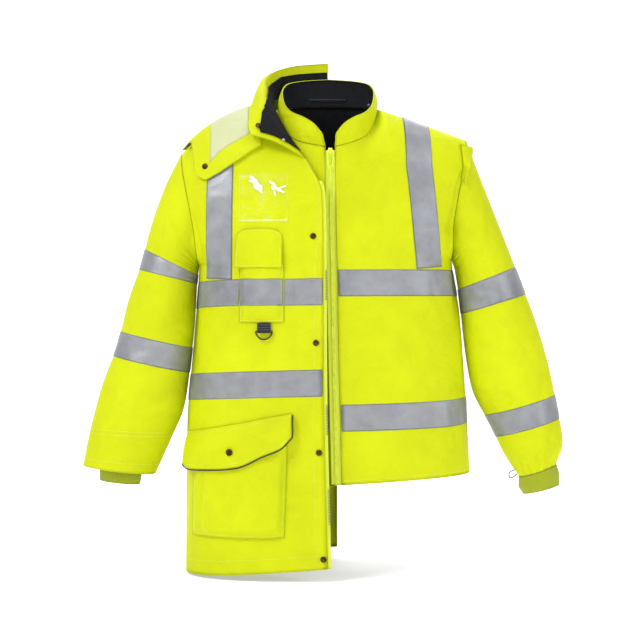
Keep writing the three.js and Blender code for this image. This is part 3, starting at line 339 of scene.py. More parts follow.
outer_folds = Table(FOLD, [
    [0.98, 4.1, 0.8, 2.7, 20, 5], [0.94, 5.6, 0.78, 4.3, 17, 4], [0.62, 1.9, 0.74, 0.5, 24, -4],
    [0.2, 3.1, 0.28, 1.7, 26, 3], [0.86, 2.2, 0.95, 0.6, 18, 4],
])
inner_folds = Table(FOLD, [
    [0.98, 4.2, 0.78, 2.9, 19, 5], [0.92, 6.1, 0.84, 4.6, 16, 4.5], [0.45, 0.3, 0.62, 1.7, 24, -4],
    [0.74, 1.8, 0.9, 0.5, 20, 4], [0.3, 2.9, 0.42, 2.2, 22, 3],
])
back_folds = Table(FOLD, [
    [0.96, 4.3, 0.66, 3, 22, 6], [0.9, 5.8, 0.68, 4.9, 18, 4], [0.35, 3.2, 0.5, 1.6, 26, 5],
    [0.15, 1.8, 0.22, 0.4, 24, -4], [0.7, 2.1, 0.86, 0.6, 22, 4],
])
outer_creases = Table(FOLD, [
    [0.97, 3.9, 0.86, 3.25, 6, 1.9], [0.95, 3.3, 0.83, 2.6, 8, 1.6], [0.99, 4.6, 0.9, 4.15, 5, 1.5],
    [0.9, 5.3, 0.82, 4.6, 7, 1.3], [0.93, 2.3, 0.8, 1.75, 7, 1.7], [0.97, 1.5, 0.9, 0.55, 6, 1.4],
    [0.12, 6.3, 0.3, 5.5, 8, 1.0], [0.1, 4.15, 0.26, 3.9, 6, 0.9], [0.07, 2.9, 0.2, 2.65, 7, 1.3],
    [0.06, 2.05, 0.17, 2.3, 6, 1.1], [0.7, 6.6, 0.9, 6.9, 7, 1.2], [0.5, 7.1, 0.7, 6.5, 8, 0.9],
    [0.3, 0.55, 0.5, 0.3, 8, 1.0], [0.06, 1.2, 0.14, 0.75, 7, 1.0], [0.83, 0.95, 0.93, 0.3, 6, 1.3],
])
inner_creases = Table(FOLD, [
    [0.98, 4.1, 0.84, 3.5, 6, 2.0], [0.96, 3.6, 0.8, 3.05, 8, 1.7], [0.98, 4.9, 0.9, 4.3, 5, 1.6],
    [0.9, 6.9, 0.87, 5.7, 7, 1.6], [0.83, 5.4, 0.78, 4.4, 8, 1.2], [0.96, 2.4, 0.82, 1.9, 7, 1.8],
    [0.98, 1.5, 0.88, 0.8, 6, 1.6], [0.05, 6.2, 0.3, 5.6, 9, 1.1], [0.04, 4.7, 0.22, 4.4, 7, 0.9],
    [0.05, 3.2, 0.26, 2.75, 8, 1.3], [0.2, 2.35, 0.46, 2.55, 9, 1.2], [0.04, 1.25, 0.2, 1.0, 7, 1.2],
    [0.35, 0.75, 0.58, 0.35, 8, 1.3], [0.6, 1.45, 0.72, 0.5, 9, 1.2], [0.42, 6.9, 0.6, 6.3, 8, 1.0],
    [0.52, 3.6, 0.66, 2.9, 9, 1.0], [0.04, 0.55, 0.16, 0.25, 6, 0.9],
])
back_creases = Table(FOLD, [
    [0.97, 4.2, 0.78, 3.6, 7, 2.0], [0.95, 3.5, 0.72, 2.9, 9, 1.8], [0.98, 5.0, 0.84, 4.5, 6, 1.6],
    [0.9, 6.2, 0.74, 5.6, 8, 1.4], [0.3, 5.2, 0.5, 4.8, 10, 1.1], [0.12, 3.5, 0.3, 3.2, 9, 1.2],
    [0.4, 2.7, 0.58, 2.2, 9, 1.5], [0.9, 2.2, 0.72, 1.7, 8, 1.7], [0.15, 1.4, 0.34, 1.1, 8, 1.1],
    [0.55, 1.2, 0.7, 0.5, 8, 1.3], [0.86, 1.1, 0.95, 0.4, 7, 1.4], [0.2, 6.4, 0.42, 6.1, 9, 1.0],
])


def panel_push(folds, creases, scale=1.0):
    def push(u, v):
        # Fades towards the seams and the top edge, so that joined pieces keep meeting.
        hold = clamp((1 - u) * 12) * clamp(u * 10) * clamp((TOP - 0.6 - v) * 2)
        height = fold_depth(folds, u, v, 300, 95)
        return (height + scale * crease_height(creases, u, v, 300, 95)) * hold
    return push


ROWS = lines(0, 60, ARMPIT, 52, TOP)
inner_left = Surface(panel_point(inner_front, 1), lines(0, 40, 0.38, 56, 1), ROWS, body_core,
                     panel_push(inner_folds, inner_creases))
inner_right = Surface(panel_point(inner_front_right, -1, SQUEEZE), lines(0, 24, 0.38, 28, 1),
                      lines(0, 40, ARMPIT, 40, TOP), body_core, panel_push(inner_folds, inner_creases, 0.4))
back_left, back_right = panel_point(inner_back, 1), panel_point(inner_back, -1, SQUEEZE)


def back_point(u, v):
    left, right = back_left(np.abs(u), v), back_right(np.abs(u), v)
    return np.where((np.asarray(u) < 0)[..., None], right, left)


def back_push(u, v):
    left = panel_push(back_folds, back_creases)(np.abs(u), v)
    return np.where(u > 0, left, 0.35 * panel_push(outer_folds, back_creases)(np.abs(u), v) * (u < -0.02))


inner_back_all = Surface(back_point, lines(-1, 30, -0.38, 20, 0, 26, 0.38, 44, 1), ROWS, body_core, back_push)
outer_left_edge = Surface(panel_point(outer_front, -1), lines(0, 36, 0.36, 52, 1),
                          lines(0, 68, ARMPIT, 54, TOP), body_core, panel_push(outer_folds, outer_creases))
outer_behind = Surface(panel_point(outer_back, -1), lines(0, 30, 0.36, 48, 1), lines(0, 64, ARMPIT, 54, TOP),
                       body_core, panel_push(back_folds, back_creases))
coat_front, coat_back = outer_left_edge, outer_behind


# Sleeves

RING = "ix iz ox oz cy half"
coat_rings = Table(RING, [
    [253, -274, 288, -56, 0, 74], [253.4, -280, 319, -119, 0, 74], [254, -286, 349, -205, -2, 76],
    [256, -300, 364, -266, -5, 76], [260, -381, 391, -346, -12, 75], [267.5, -457, 410, -426, -18, 73],
    [279, -545, 440, -510, -28, 70], [305, -612, 464, -606, -37, 66], [334, -678, 474, -661, -45, 62],
])
inner_rings = Table(RING, [
    [244, -262, 273, -28, 0, 66], [245.4, -268, 304, -112, 0, 70], [248.5, -275, 343, -212, -2, 72],
    [258.8, -338, 375, -296, -5, 70], [268, -430, 410, -392, -12, 68], [282, -514, 433, -475, -18, 65],
    [319, -588, 447, -549, -25, 62], [345, -644, 457, -615, -35, 58], [371, -684, 443, -660, -45, 36],
])
hidden_rings = Table(RING, [
    [227.4, -262, 254, -43, 0, 60], [243, -256, 280, -95, 0, 56], [259, -257, 316, -170, 0, 58],
    [265, -282, 350, -252, -4, 63], [269, -372, 379, -346, -12, 65], [276, -452, 398, -426, -18, 63],
    [290, -540, 426, -512, -28, 60], [316, -608, 448, -604, -37, 55], [364, -664, 438, -652, -45, 36],
])
ARMHOLE_SEAM = 0.95


def armhole(front, back, side, narrow=1.0):
    """The armhole as a closed line: up the front from the armpit and down the back."""
    def even(points):
        run = np.concatenate([[0], np.cumsum(np.linalg.norm(np.diff(points, axis=0), axis=1))])
        run = run / run[-1]
        return lambda f: np.stack([np.interp(f, run, points[:, k]) for k in range(3)], axis=-1)
    up = panel_point(front, side, narrow)(np.ones(121), np.linspace(ARMPIT, TOP, 121))
    down = panel_point(back, side, narrow)(np.ones(121), np.linspace(TOP, ARMPIT, 121))
    first, second = even(up), even(down)
    return lambda a: np.where((a < 0.5)[..., None], first(clamp(a * 2)), second(clamp(a * 2 - 1)))


def sleeve_point(rings, hole, side):
    def ellipse(a, r):
        ring = rings.at(r)
        turn = (1 - np.cos(2 * math.pi * a)) / 2
        return xyz(side * mix(ring["ix"], ring["ox"], turn),
                   ring["cy"] - ring["half"] * np.sin(2 * math.pi * a),
                   mix(ring["iz"], ring["oz"], turn))

    def point(a, r):
        a, r = np.broadcast_arrays(np.asarray(a, float) % 1.0, np.asarray(r, float))
        fade = (np.maximum(0, 1 - r / 1.6) ** 2)[..., None]
        start = hole(a) + np.array([side * ARMHOLE_SEAM, 0, 0])
        return ellipse(a, r) + (start - ellipse(a, 0 * r)) * fade

    return point


sleeve_folds = Table(FOLD, [
    [0.1, 1.8, 0.32, 2.6, 13, 3.5], [0.03, 3.5, 0.2, 4.3, 12, 4], [0.16, 4.6, 0.36, 5.2, 14, 3.5],
    [0.05, 5.5, 0.26, 6.4, 13, 4], [0.62, 2.8, 0.88, 3.6, 14, 4], [0.7, 4.4, 0.94, 5.4, 14, 4],
    [0.38, 6.2, 0.3, 7.3, 12, 3],
])
sleeve_creases = Table(FOLD, [
    [0.04, 1.2, 0.19, 1.75, 7, 2.0], [0.03, 2.1, 0.22, 2.35, 6, 1.8], [0.05, 3.0, 0.25, 3.3, 8, 1.7],
    [0.02, 3.9, 0.17, 4.25, 6, 2.1], [0.04, 4.55, 0.2, 4.3, 6, 1.6], [0.03, 5.1, 0.26, 5.5, 7, 2.0],
    [0.22, 4.0, 0.36, 3.6, 9, 1.3], [0.3, 2.2, 0.4, 1.2, 9, 1.1], [0.4, 4.9, 0.32, 5.7, 8, 1.2],
    [0.05, 6.2, 0.24, 6.7, 7, 1.9], [0.28, 6.5, 0.4, 7.2, 7, 1.4], [0.1, 7.0, 0.3, 7.3, 6, 1.3],
    [0.97, 1.3, 0.82, 1.9, 7, 1.9], [0.96, 2.7, 0.76, 2.9, 8, 1.7], [0.97, 3.9, 0.78, 4.3, 7, 2.0],
    [0.95, 4.9, 0.75, 4.6, 8, 1.5], [0.96, 5.7, 0.74, 6.1, 7, 1.9], [0.66, 3.5, 0.58, 4.4, 9, 1.2],
    [0.9, 6.6, 0.7, 6.9, 7, 1.5], [0.6, 6.3, 0.55, 7.3, 8, 1.2],
])
# Short gathers that run up from the narrow end of the inner jacket's sleeve.
cuff_gathers = Table(FOLD, [
    [0.03, 8.1, 0.06, 7.2, 5, 2.6], [0.1, 8.1, 0.12, 7.0, 6, 3.2], [0.17, 8.1, 0.16, 7.35, 5, 2.4],
    [0.23, 8.1, 0.25, 6.8, 6, 3.4], [0.3, 8.1, 0.31, 7.2, 5, 2.8], [0.37, 8.1, 0.38, 6.9, 6, 3.1],
    [0.44, 8.1, 0.43, 7.3, 5, 2.3], [0.5, 8.1, 0.5, 7.0, 6, 3.0], [0.57, 8.1, 0.56, 7.25, 5, 2.6],
    [0.64, 8.1, 0.66, 6.9, 6, 3.2], [0.71, 8.1, 0.71, 7.3, 5, 2.5], [0.78, 8.1, 0.8, 6.95, 6, 3.1],
    [0.86, 8.1, 0.85, 7.2, 5, 2.7], [0.94, 8.1, 0.93, 7.0, 6, 2.8],
])


def sleeve_push(creases, last, gathers=None, scale=1.0):
    def push(a, r):
        hold = clamp((r - 0.6) * 1.5) * clamp((last + 1 - 1.1 - r) * 2) * np.maximum(
            0.15, clamp(np.minimum(a, 1 - a) * 16))
        height = fold_depth(sleeve_folds, a, r, 420, 80) + scale * crease_height(creases, a, r, 420, 80)
        height = height * hold
        if gathers is not None:
            height = height + fold_depth(gathers, a, r, 420, 80) * ease((r - 6.6) / 0.6)
        return height
    return push


def sleeve(rings, hole, side, push, around, rows):
    def middle(p, a, r):
        ring = rings.at(r)
        return xyz(side * (ring["ix"] + ring["ox"]) / 2, ring["cy"], (ring["iz"] + ring["oz"]) / 2)
    return Surface(sleeve_point(rings, hole, side), np.linspace(0, 1, around + 1), rows, middle, push,
                   closed=True)


coat_hole = armhole(outer_front, outer_back, -1)
left_hole = armhole(inner_front, inner_back, 1)
right_hole = armhole(inner_front, inner_back, -1, SQUEEZE)
coat_arm = sleeve(coat_rings, coat_hole, -1, sleeve_push(sleeve_creases, 8), 104, np.linspace(0, 8, 116))
left_arm = sleeve(inner_rings, left_hole, 1, sleeve_push(sleeve_creases, 8, cuff_gathers), 120,
                  np.linspace(0, 8, 124))
hidden_arm = sleeve(hidden_rings, right_hole, -1, sleeve_push(sleeve_creases, 8, cuff_gathers, 0.5), 72,
                    np.linspace(0, 8, 72))


# Collars

COLLAR = "x y z bulge roll"
inner_collar_top = Table(COLLAR, [
    [16.5, -116, -28, 0, 0], [31, -110, -8, 2, 0], [50, -99, 6, 4, 0], [74, -80, 19, 5, 0],
    [88, -48, 40, 5, 0], [92, -4, 68, 5, 0], [84, 40, 88, 4, 0], [54, 71, 99, 3, 0], [3, 83, 104, 2, 0],
])
coat_collar_top = Table(COLLAR, [
    [147, -118, -30, 0, 8], [151, -100, -12, 0, 16], [149, -66, 18, 0, 22], [142, -20, 55, 0, 22],
    [126, 30, 98, 4, 10], [95, 66, 122, 5, 0], [52, 89, 134, 4, 0], [0, 97, 138.5, 3, 0],
])


def collar_point(front, back, top, side):
    front_line, back_line = panel_point(front, side), panel_point(back, side)

    def point(u, v):
        u, v = np.broadcast_arrays(np.asarray(u, float), np.asarray(v, float))
        on_front = u < FRONT_SHARE
        f = np.where(on_front, u / FRONT_SHARE, (1 - u) / (1 - FRONT_SHARE))
        top_v = np.full(u.shape, float(TOP))
        seam = np.where(on_front[..., None], front_line(clamp(f) * front.neck_share, top_v),
                        back_line(clamp(f) * back.neck_share, top_v))
        t = top.at(u * (len(top.data) - 1))
        edge = xyz(side * t["x"], t["y"], t["z"])
        out = unit(xyz(edge[..., 0] + seam[..., 0], edge[..., 1], 0))
        swell = np.sin(math.pi * v)[..., None]
        p = mix(seam + np.array([0, 0, 0.55]), edge, v[..., None])
        p = p + out * t["bulge"][..., None] * swell
        return p + np.array([0, -0.6, 0.8]) * t["roll"][..., None] * swell

    return point


inner_collar_left = collar_point(inner_front, inner_back, inner_collar_top, 1)
inner_collar_right = collar_point(inner_front_right, inner_back, inner_collar_top, -1)


def inner_collar_point(u, v):
    u, v = np.broadcast_arrays(np.asarray(u, float), np.asarray(v, float))
    right, left = inner_collar_right(1 + np.minimum(u, 0), v), inner_collar_left(1 - np.maximum(u, 0), v)
    lean = (INNER_NECK[0][0] - ZIP_GAP / 2) * v * np.maximum(0, -u)
    right = right + np.stack([lean, 0 * v, 0 * v], axis=-1)
    return np.where((u < 0)[..., None], right, left)


def collar_ripples(table, per_u, per_v):
    return lambda u, v: crease_height(table, u, v, per_u, per_v) * clamp(v * 6) * clamp((1 - v) * 5)


inner_collar_creases = Table(FOLD, [
    [0.93, 0.1, 0.8, 0.75, 6, 0.9], [0.72, 0.15, 0.66, 0.8, 8, 0.9], [0.45, 0.2, 0.5, 0.9, 9, 0.7],
    [-0.9, 0.1, -0.82, 0.8, 7, 0.8], [-0.6, 0.2, -0.7, 0.9, 8, 0.9], [-0.2, 0.1, -0.15, 0.7, 9, 0.6],
])
coat_collar_creases = Table(FOLD, [
    [0.05, 0.2, 0.3, 0.75, 8, 1.3], [0.22, 0.15, 0.42, 0.6, 9, 1.1], [0.5, 0.2, 0.56, 0.85, 8, 1.2],
    [0.66, 0.15, 0.7, 0.8, 9, 1.0], [0.84, 0.2, 0.82, 0.8, 9, 0.8],
])
inner_collar = Surface(inner_collar_point, lines(-1, 70, 0, 70, 1), np.linspace(0, 1, 26),
                       lambda p, u, v: xyz(0, -15, p[..., 2] - 40),
                       collar_ripples(inner_collar_creases, 300, 90))
coat_collar = Surface(collar_point(outer_front, outer_back, coat_collar_top, -1), np.linspace(0, 1, 110),
                      np.linspace(0, 1, 36), lambda p, u, v: xyz(0, -300, 200) + 0 * p,
                      collar_ripples(coat_collar_creases, 380, 150))


# Meshes from grids of points

class Cloth:
    """Collects grids of points, in millimetres, into one mesh with a metric UV map."""

    def __init__(self):
        self.points, self.faces, self.uvs, self.slots, self.count = [], [], [], [], 0

    def grid(self, p, uv, slot=0, closed=False, flip=False):
        rows, cols = p.shape[:2]
        i, j = np.meshgrid(np.arange(rows - 1), np.arange(cols if closed else cols - 1), indexing="ij")
        i, j = i.ravel(), j.ravel()
        nxt = (j + 1) % cols
        corner = [i * cols + j, i * cols + nxt, (i + 1) * cols + nxt, (i + 1) * cols + j]
        places = [uv[i, j], uv[i, j + 1], uv[i + 1, j + 1], uv[i + 1, j]]
        if flip:
            corner, places = corner[::-1], places[::-1]
        start = self.count
        self.points.append(p.reshape(-1, 3))
        self.faces.append(np.stack(corner, axis=1) + start)
        self.uvs.append(np.stack(places, axis=1))
        self.slots.append(np.full(len(i), slot))
        self.count += rows * cols
        return start

    def strip(self, loops, uv_step, slot):
        """Joins rows of existing or new vertices, each given as a list of indices."""
        loops = [np.asarray(loop) for loop in loops]
        for k in range(len(loops) - 1):
            a, b = loops[k], loops[k + 1]
            self.faces.append(np.stack([a[:-1], a[1:], b[1:], b[:-1]], axis=1))
            run = np.arange(len(a)) * uv_step
            uv = np.stack([run, np.full(len(a), k * 1.0)], axis=1)
            up = uv + np.array([0, 1.0])
            self.uvs.append(np.stack([uv[:-1], uv[1:], up[1:], up[:-1]], axis=1))
            self.slots.append(np.full(len(a) - 1, slot))

    def add_points(self, p):
        start = self.count
        self.points.append(p)
        self.count += len(p)
        return np.arange(start, start + len(p))

    def wall(self, outer, thick, normals, uv, slots=(0, 1, 0), closed=False, rim=2, last=None):
        """A closed wall: the outer grid, an inner one thick below it and rounded edges; the edge at the
        grid's last row may have a slot of its own."""
        inner = outer - normals * thick
        rows, cols = outer.shape[:2]
        du = np.roll(outer, -1, axis=1)[:, :-1] - outer[:, :-1]
        dv = outer[1:, :-1] - outer[:-1, :-1]
        sign = np.sum(np.cross(du[:-1], dv) * normals[:-1, :-1])
        flip = sign < 0
        top = self.grid(outer, uv, slots[0], closed, flip)
        low = self.grid(inner, uv, slots[1], closed, not flip)
        ids = np.arange(rows * cols).reshape(rows, cols)

        def border(line, inside, turn, slot, ring=False):
            a, b = outer.reshape(-1, 3)[line], inner.reshape(-1, 3)[line]
            away = unit(a - outer.reshape(-1, 3)[inside])
            half = np.linalg.norm(a - b, axis=1, keepdims=True) / 2
            loops = [line + top]
            for k in range(1, rim + 1):
                angle = math.pi * k / (rim + 1)
                p = (a + b) / 2 + (a - b) / 2 * math.cos(angle) + away * half * 0.8 * math.sin(angle)
                loops.append(self.add_points(p))
            loops.append(line + low)
            if ring:
                loops = [np.append(loop, loop[0]) for loop in loops]
            self.strip(loops[::-1] if turn else loops, 2.0, slot)

        border(ids[0], ids[1], flip, slots[2], closed)
        border(ids[-1], ids[-2], not flip, slots[2] if last is None else last, closed)
        if not closed:
            border(ids[:, 0], ids[:, 1], not flip, slots[2])
            border(ids[:, -1], ids[:, -2], flip, slots[2])

    def make(self, name, materials, node_names=(), slot=None, body=BODY, weld=True):
        points = np.concatenate(self.points) * MM
        faces = np.concatenate(self.faces)
        uvs = np.concatenate(self.uvs)
        mesh = bpy.data.meshes.new(name)
        mesh.from_pydata(points.tolist(), [], faces.tolist())
        layer = mesh.uv_layers.new(name="cloth")
        layer.data.foreach_set("uv", (uvs.reshape(-1, 2) * MM).ravel())
        for material in materials:
            mesh.materials.append(material)
        mesh.polygons.foreach_set("material_index", np.concatenate(self.slots).astype(np.int32))
        mesh.polygons.foreach_set("use_smooth", np.ones(len(faces), bool))
        mesh.update()
        obj = put(name, mesh)
        if weld:
            weld_points(obj)
        return settle(obj, node_names, body)


def put(name, data):
    """Places a new object with this data in the scene."""
    obj = bpy.data.objects.new(name, data)
    bpy.context.scene.collection.objects.link(obj)
    return obj


def weld_points(obj, reach=2e-6):
    """Joins points less than two thousandths of a millimetre apart."""
    bm = bmesh.new()
    bm.from_mesh(obj.data)
    bmesh.ops.remove_doubles(bm, verts=bm.verts, dist=reach)
    bm.to_mesh(obj.data)
    bm.free()


def settle(obj, node_names=(), body=BODY):
    """Fixes a finished piece to its body and hides the solids that it takes the place of."""
    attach(obj, body)
    if node_names:
        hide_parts(*node_names)
    return obj


def lengths(p, closed=False):
    """Distance along the rows and columns of a grid, in millimetres, for its UV map."""
    across = np.linalg.norm(np.diff(p, axis=1), axis=2)
    if closed:
        across = np.concatenate([across, np.linalg.norm(p[:, :1] - p[:, -1:], axis=2)], axis=1)
    along = np.linalg.norm(np.diff(p, axis=0), axis=2).mean(axis=1)
    u = np.concatenate([np.zeros((len(p), 1)), np.cumsum(across, axis=1)], axis=1)
    v = np.concatenate([[0], np.cumsum(along)])
    return np.stack(np.broadcast_arrays(u, v[:, None]), axis=-1)


def flat_area(p, closed=False):
    q = np.concatenate([p, p[:, :1]], axis=1) if closed else p
    a, b, c = q[:-1, :-1], q[:-1, 1:], q[1:, :-1]
    return float(np.linalg.norm(np.cross(b - a, c - a), axis=2).sum()) * MM * MM


def cut_size(p, closed=False):
    """The flat size of the piece that was cut: its greatest width and length, and its area."""
    uv = lengths(p, closed)
    width = float(uv[:, -1, 0].max() - uv[:, 0, 0].min()) * MM
    length = float(np.linalg.norm(np.diff(p, axis=0), axis=2).sum(axis=0).max()) * MM
    area = flat_area(p, closed)
    width, length = math.ceil(width * 1e4) / 1e4, math.ceil(length * 1e4) / 1e4
    return (width, length), round(min(area, 0.995 * width * length), 6)


def panel_edges(surf, share):
    """Wall directions of a panel, turned where it meets a seam, so that neighbours don't cross."""
    n = surf.n.copy()
    u = np.abs(surf.us)
    last = len(surf.vs) - 1
    n[last, u < share - 1e-6, 2] = 0
    n[last, u >= share - 1e-6, 1] = 0
    side = u > 0.999
    low = surf.vs <= ARMPIT
    for i in range(len(surf.vs)):
        n[i, side, 1 if (low[i] or i == last) else 0] = 0
    return unit(n)


def closed_grid(surf):
    return surf.p[:, :-1], surf.n[:, :-1]


# Shaders: arithmetic on sockets, and one method for every other node

class Value:
    """A socket that carries numbers, with the arithmetic of shader maths."""

    def __init__(self, shop, socket):
        self.shop, self.socket = shop, socket

    def _math(self, operation, first, second=None):
        inputs = {0: first}
        if second is not None:
            inputs[1] = second
        return self.shop.out("ShaderNodeMath", {"operation": operation}, inputs)

    def __add__(self, other): return self._math("ADD", self, other)
    def __radd__(self, other): return self._math("ADD", other, self)
    def __sub__(self, other): return self._math("SUBTRACT", self, other)
    def __rsub__(self, other): return self._math("SUBTRACT", other, self)
    def __mul__(self, other): return self._math("MULTIPLY", self, other)
    def __rmul__(self, other): return self._math("MULTIPLY", other, self)
    def __truediv__(self, other): return self._math("DIVIDE", self, other)
    def sin(self): return self._math("SINE", self)
    def fract(self): return self._math("FRACT", self)
    def abs(self): return self._math("ABSOLUTE", self)
    def high(self, other): return self._math("MAXIMUM", self, other)

    def fit(self, low, high, to_low=0.0, to_high=1.0):
        return self.shop.out("ShaderNodeMapRange", {}, {
            "Value": self, "From Min": low, "From Max": high, "To Min": to_low, "To Max": to_high})


class Finish:
    """One material, built around a Principled shader."""

    def __init__(self, name, **constants):
        self.material = bpy.data.materials.new(name)
        self.material.use_nodes = True
        self.tree = self.material.node_tree
        self.tree.nodes.clear()
        self.output = self.tree.nodes.new("ShaderNodeOutputMaterial")
        self.shader = self.tree.nodes.new("ShaderNodeBsdfPrincipled")
        self.tree.links.new(self.shader.outputs["BSDF"], self.output.inputs["Surface"])
        for socket, value in constants.items():
            self.shader.inputs[socket.replace("_", " ")].default_value = value
        base = constants.get("Base_Color")
        if base is not None:
            self.material.diffuse_color = base

    def node(self, kind, settings=None, inputs=None):
        node = self.tree.nodes.new(kind)
        for key, value in (settings or {}).items():
            setattr(node, key, value)
        for key, value in (inputs or {}).items():
            socket = node.inputs[key]
            if isinstance(value, Value):
                self.tree.links.new(value.socket, socket)
            else:
                socket.default_value = value
        return node

    def out(self, kind, settings=None, inputs=None, output=0):
        return Value(self, self.node(kind, settings, inputs).outputs[output])

    def cloth_place(self):
        """Across and along the cloth, in metres, from the piece's own UV map."""
        uv = self.out("ShaderNodeUVMap", {"uv_map": "cloth"})
        apart = self.node("ShaderNodeSeparateXYZ", {}, {0: uv})
        return uv, Value(self, apart.outputs[0]), Value(self, apart.outputs[1])

    def place(self):
        return self.out("ShaderNodeTexCoord", {}, {}, "Object")

    def noise(self, scale, detail=2.0, rough=0.5, vector=None, spread=0.0):
        return self.out("ShaderNodeTexNoise", {}, {
            "Vector": vector or self.place(), "Scale": scale, "Detail": detail,
            "Roughness": rough, "Distortion": spread}, "Fac")

    def blend(self, factor, first, second):
        """A mix of two colours; inputs 6 and 7 and output 2 of the node are its colour sockets."""
        return self.out("ShaderNodeMix", {"data_type": "RGBA"}, {0: factor, 6: first, 7: second}, 2)

    def set(self, socket, value):
        self.tree.links.new(value.socket, self.shader.inputs[socket])

    def dye(self, tint, glow=0.0):
        """The colour of the surface, with a painted glow of the same colour that glows whatever the light: on
        the lime cloth and the coat's teeth it stands for the light that a fluorescent dye gives back; on the
        inner zip it also lifts the shade between the fronts.
        """
        self.set("Base Color", tint)
        if glow:
            self.shader.inputs["Emission Strength"].default_value = glow
            self.set("Emission Color", tint)

    def bump(self, height, strength, distance, below=None):
        inputs = {"Height": height, "Strength": strength, "Distance": distance}
        if below is not None:
            inputs["Normal"] = below
        return self.out("ShaderNodeBump", {}, inputs)


def colour(hex_code, shade=1.0):
    def linear(c):
        c /= 255.0
        return (c / 12.92 if c <= 0.04045 else ((c + 0.055) / 1.055) ** 2.4) * shade
    return (*(linear(int(hex_code[k:k + 2], 16)) for k in (0, 2, 4)), 1.0)


def woven(name, base, shade, rough=0.66, pitch=0.00062, sheen=0.06, glow=0.0, crumple=0.5):
    """Tight plain weave with a coated hand: fine threads, soft mottling and tiny crumples."""
    finish = Finish(name, Base_Color=base, Sheen_Weight=sheen, Sheen_Roughness=0.45, Sheen_Tint=base,
                    Specular_IOR_Level=0.16)
    _, across, along = finish.cloth_place()
    turn = 2 * math.pi / pitch
    warp, weft = (across * turn).sin(), (along * turn).sin()
    threads = warp * weft
    slub = finish.noise(900.0, 2.0, 0.6)
    mottle = finish.noise(26.0, 4.0, 0.6)
    broad = finish.noise(7.0, 2.0, 0.5)
    tone = (mottle * 0.5 + broad * 0.7 + threads * 0.03 + slub * 0.12).fit(0.35, 0.95)
    tint = finish.blend(tone, shade, base)
    finish.dye(tint, glow)
    finish.set("Roughness", (mottle * 0.22 + slub * 0.08 + (rough - 0.15)))
    small = finish.noise(75.0, 5.0, 0.62, spread=0.8)
    wide = finish.noise(15.0, 3.0, 0.5, spread=1.4)
    drape = finish.noise(5.5, 2.0, 0.45, spread=1.0)
    soft = finish.bump(drape * 1.6 + wide * 0.8 + small * 0.22, crumple, 0.010)
    finish.set("Normal", finish.bump(threads * 0.5 + slub * 0.5, 0.35, 0.00012, soft))
    return finish.material


def reflective_tape(name):
    """Silver tape of packed glass beads on cloth, with a faint woven net under them."""
    finish = Finish(name, Base_Color=colour("8A8C8F"), Metallic=0.3, Specular_IOR_Level=0.4)
    uv, across, along = finish.cloth_place()
    net = ((across + along) * 3900.0).sin() * ((across - along) * 3900.0).sin()
    beads = finish.out("ShaderNodeTexVoronoi", {}, {"Vector": uv, "Scale": 5200.0}, "Distance")
    wear = finish.noise(42.0, 5.0, 0.65)
    broad = finish.noise(11.0, 2.0, 0.5)
    tone = (wear * 0.55 + broad * 0.55 + net * 0.05).fit(0.3, 0.8)
    finish.set("Base Color", finish.blend(tone, colour("7C7E83"), colour("A0A2A7")))
    finish.set("Roughness", wear.fit(0.3, 0.7, 0.36, 0.52))
    soft = finish.bump(finish.noise(60.0, 3.0, 0.55, spread=0.6), 0.25, 0.004)
    finish.set("Normal", finish.bump(beads * 0.6 + net * 0.4, 0.3, 0.00012, soft))
    return finish.material


def fleece(name, base, deep):
    """Brushed pile: soft clumps over short fibres."""
    finish = Finish(name, Base_Color=base, Sheen_Weight=0.1, Sheen_Roughness=0.5, Sheen_Tint=base,
                    Specular_IOR_Level=0.08)
    clumps = finish.noise(420.0, 5.0, 0.7, spread=0.6)
    patches = finish.noise(70.0, 3.0, 0.55)
    fibres = finish.noise(2600.0, 3.0, 0.7)
    finish.set("Base Color", finish.blend((clumps * 0.8 + patches * 0.4).fit(0.3, 0.9), deep, base))
    finish.set("Roughness", clumps.fit(0.0, 1.0, 0.85, 1.0))
    low = finish.bump(patches * 0.4 + clumps * 0.6, 0.8, 0.0016)
    finish.set("Normal", finish.bump(fibres, 0.6, 0.0003, low))
    return finish.material


def knitted(name, base, deep, pitch=0.0011):
    """Fine rib knit: courses of loops that lie along each rib."""
    finish = Finish(name, Base_Color=base, Sheen_Weight=0.35, Sheen_Roughness=0.5, Specular_IOR_Level=0.2)
    _, across, along = finish.cloth_place()
    column = (across * (math.pi / pitch)).sin().abs()
    slant = ((along / pitch + column * 0.6) * 2 * math.pi).sin()
    fuzz = finish.noise(1500.0, 3.0, 0.6)
    loops = column * 0.7 + slant * 0.2
    finish.set("Base Color", finish.blend((loops * 0.7 + fuzz * 0.5).fit(0.1, 1.0), deep, base))
    finish.set("Roughness", fuzz.fit(0.0, 1.0, 0.75, 0.95))
    finish.set("Normal", finish.bump(loops + fuzz * 0.4, 0.6, 0.0004))
    return finish.material


def aged_metal(name, base, worn):
    """Dark cast metal, rubbed brighter where it is handled."""
    finish = Finish(name, Base_Color=base, Metallic=0.9, Specular_IOR_Level=0.5)
    grain = finish.noise(700.0, 4.0, 0.6)
    rub = finish.noise(160.0, 3.0, 0.5)
    finish.set("Base Color", finish.blend((rub * 0.7 + grain * 0.4).fit(0.45, 0.8), base, worn))
    finish.set("Roughness", grain.fit(0.2, 0.8, 0.28, 0.5))
    finish.set("Normal", finish.bump(grain, 0.25, 0.0002))
    return finish.material


def moulded(name, base, shade, rough=0.4, glow=0.0):
    """Moulded plastic with a fine spark-eroded grain."""
    finish = Finish(name, Base_Color=base, Specular_IOR_Level=0.5)
    grain = finish.noise(1800.0, 3.0, 0.6)
    tone = finish.noise(90.0, 2.0, 0.5)
    finish.dye(finish.blend(tone.fit(0.3, 0.7), shade, base), glow)
    finish.set("Roughness", grain.fit(0.2, 0.8, rough - 0.08, rough + 0.12))
    finish.set("Normal", finish.bump(grain, 0.3, 0.0001))
    return finish.material


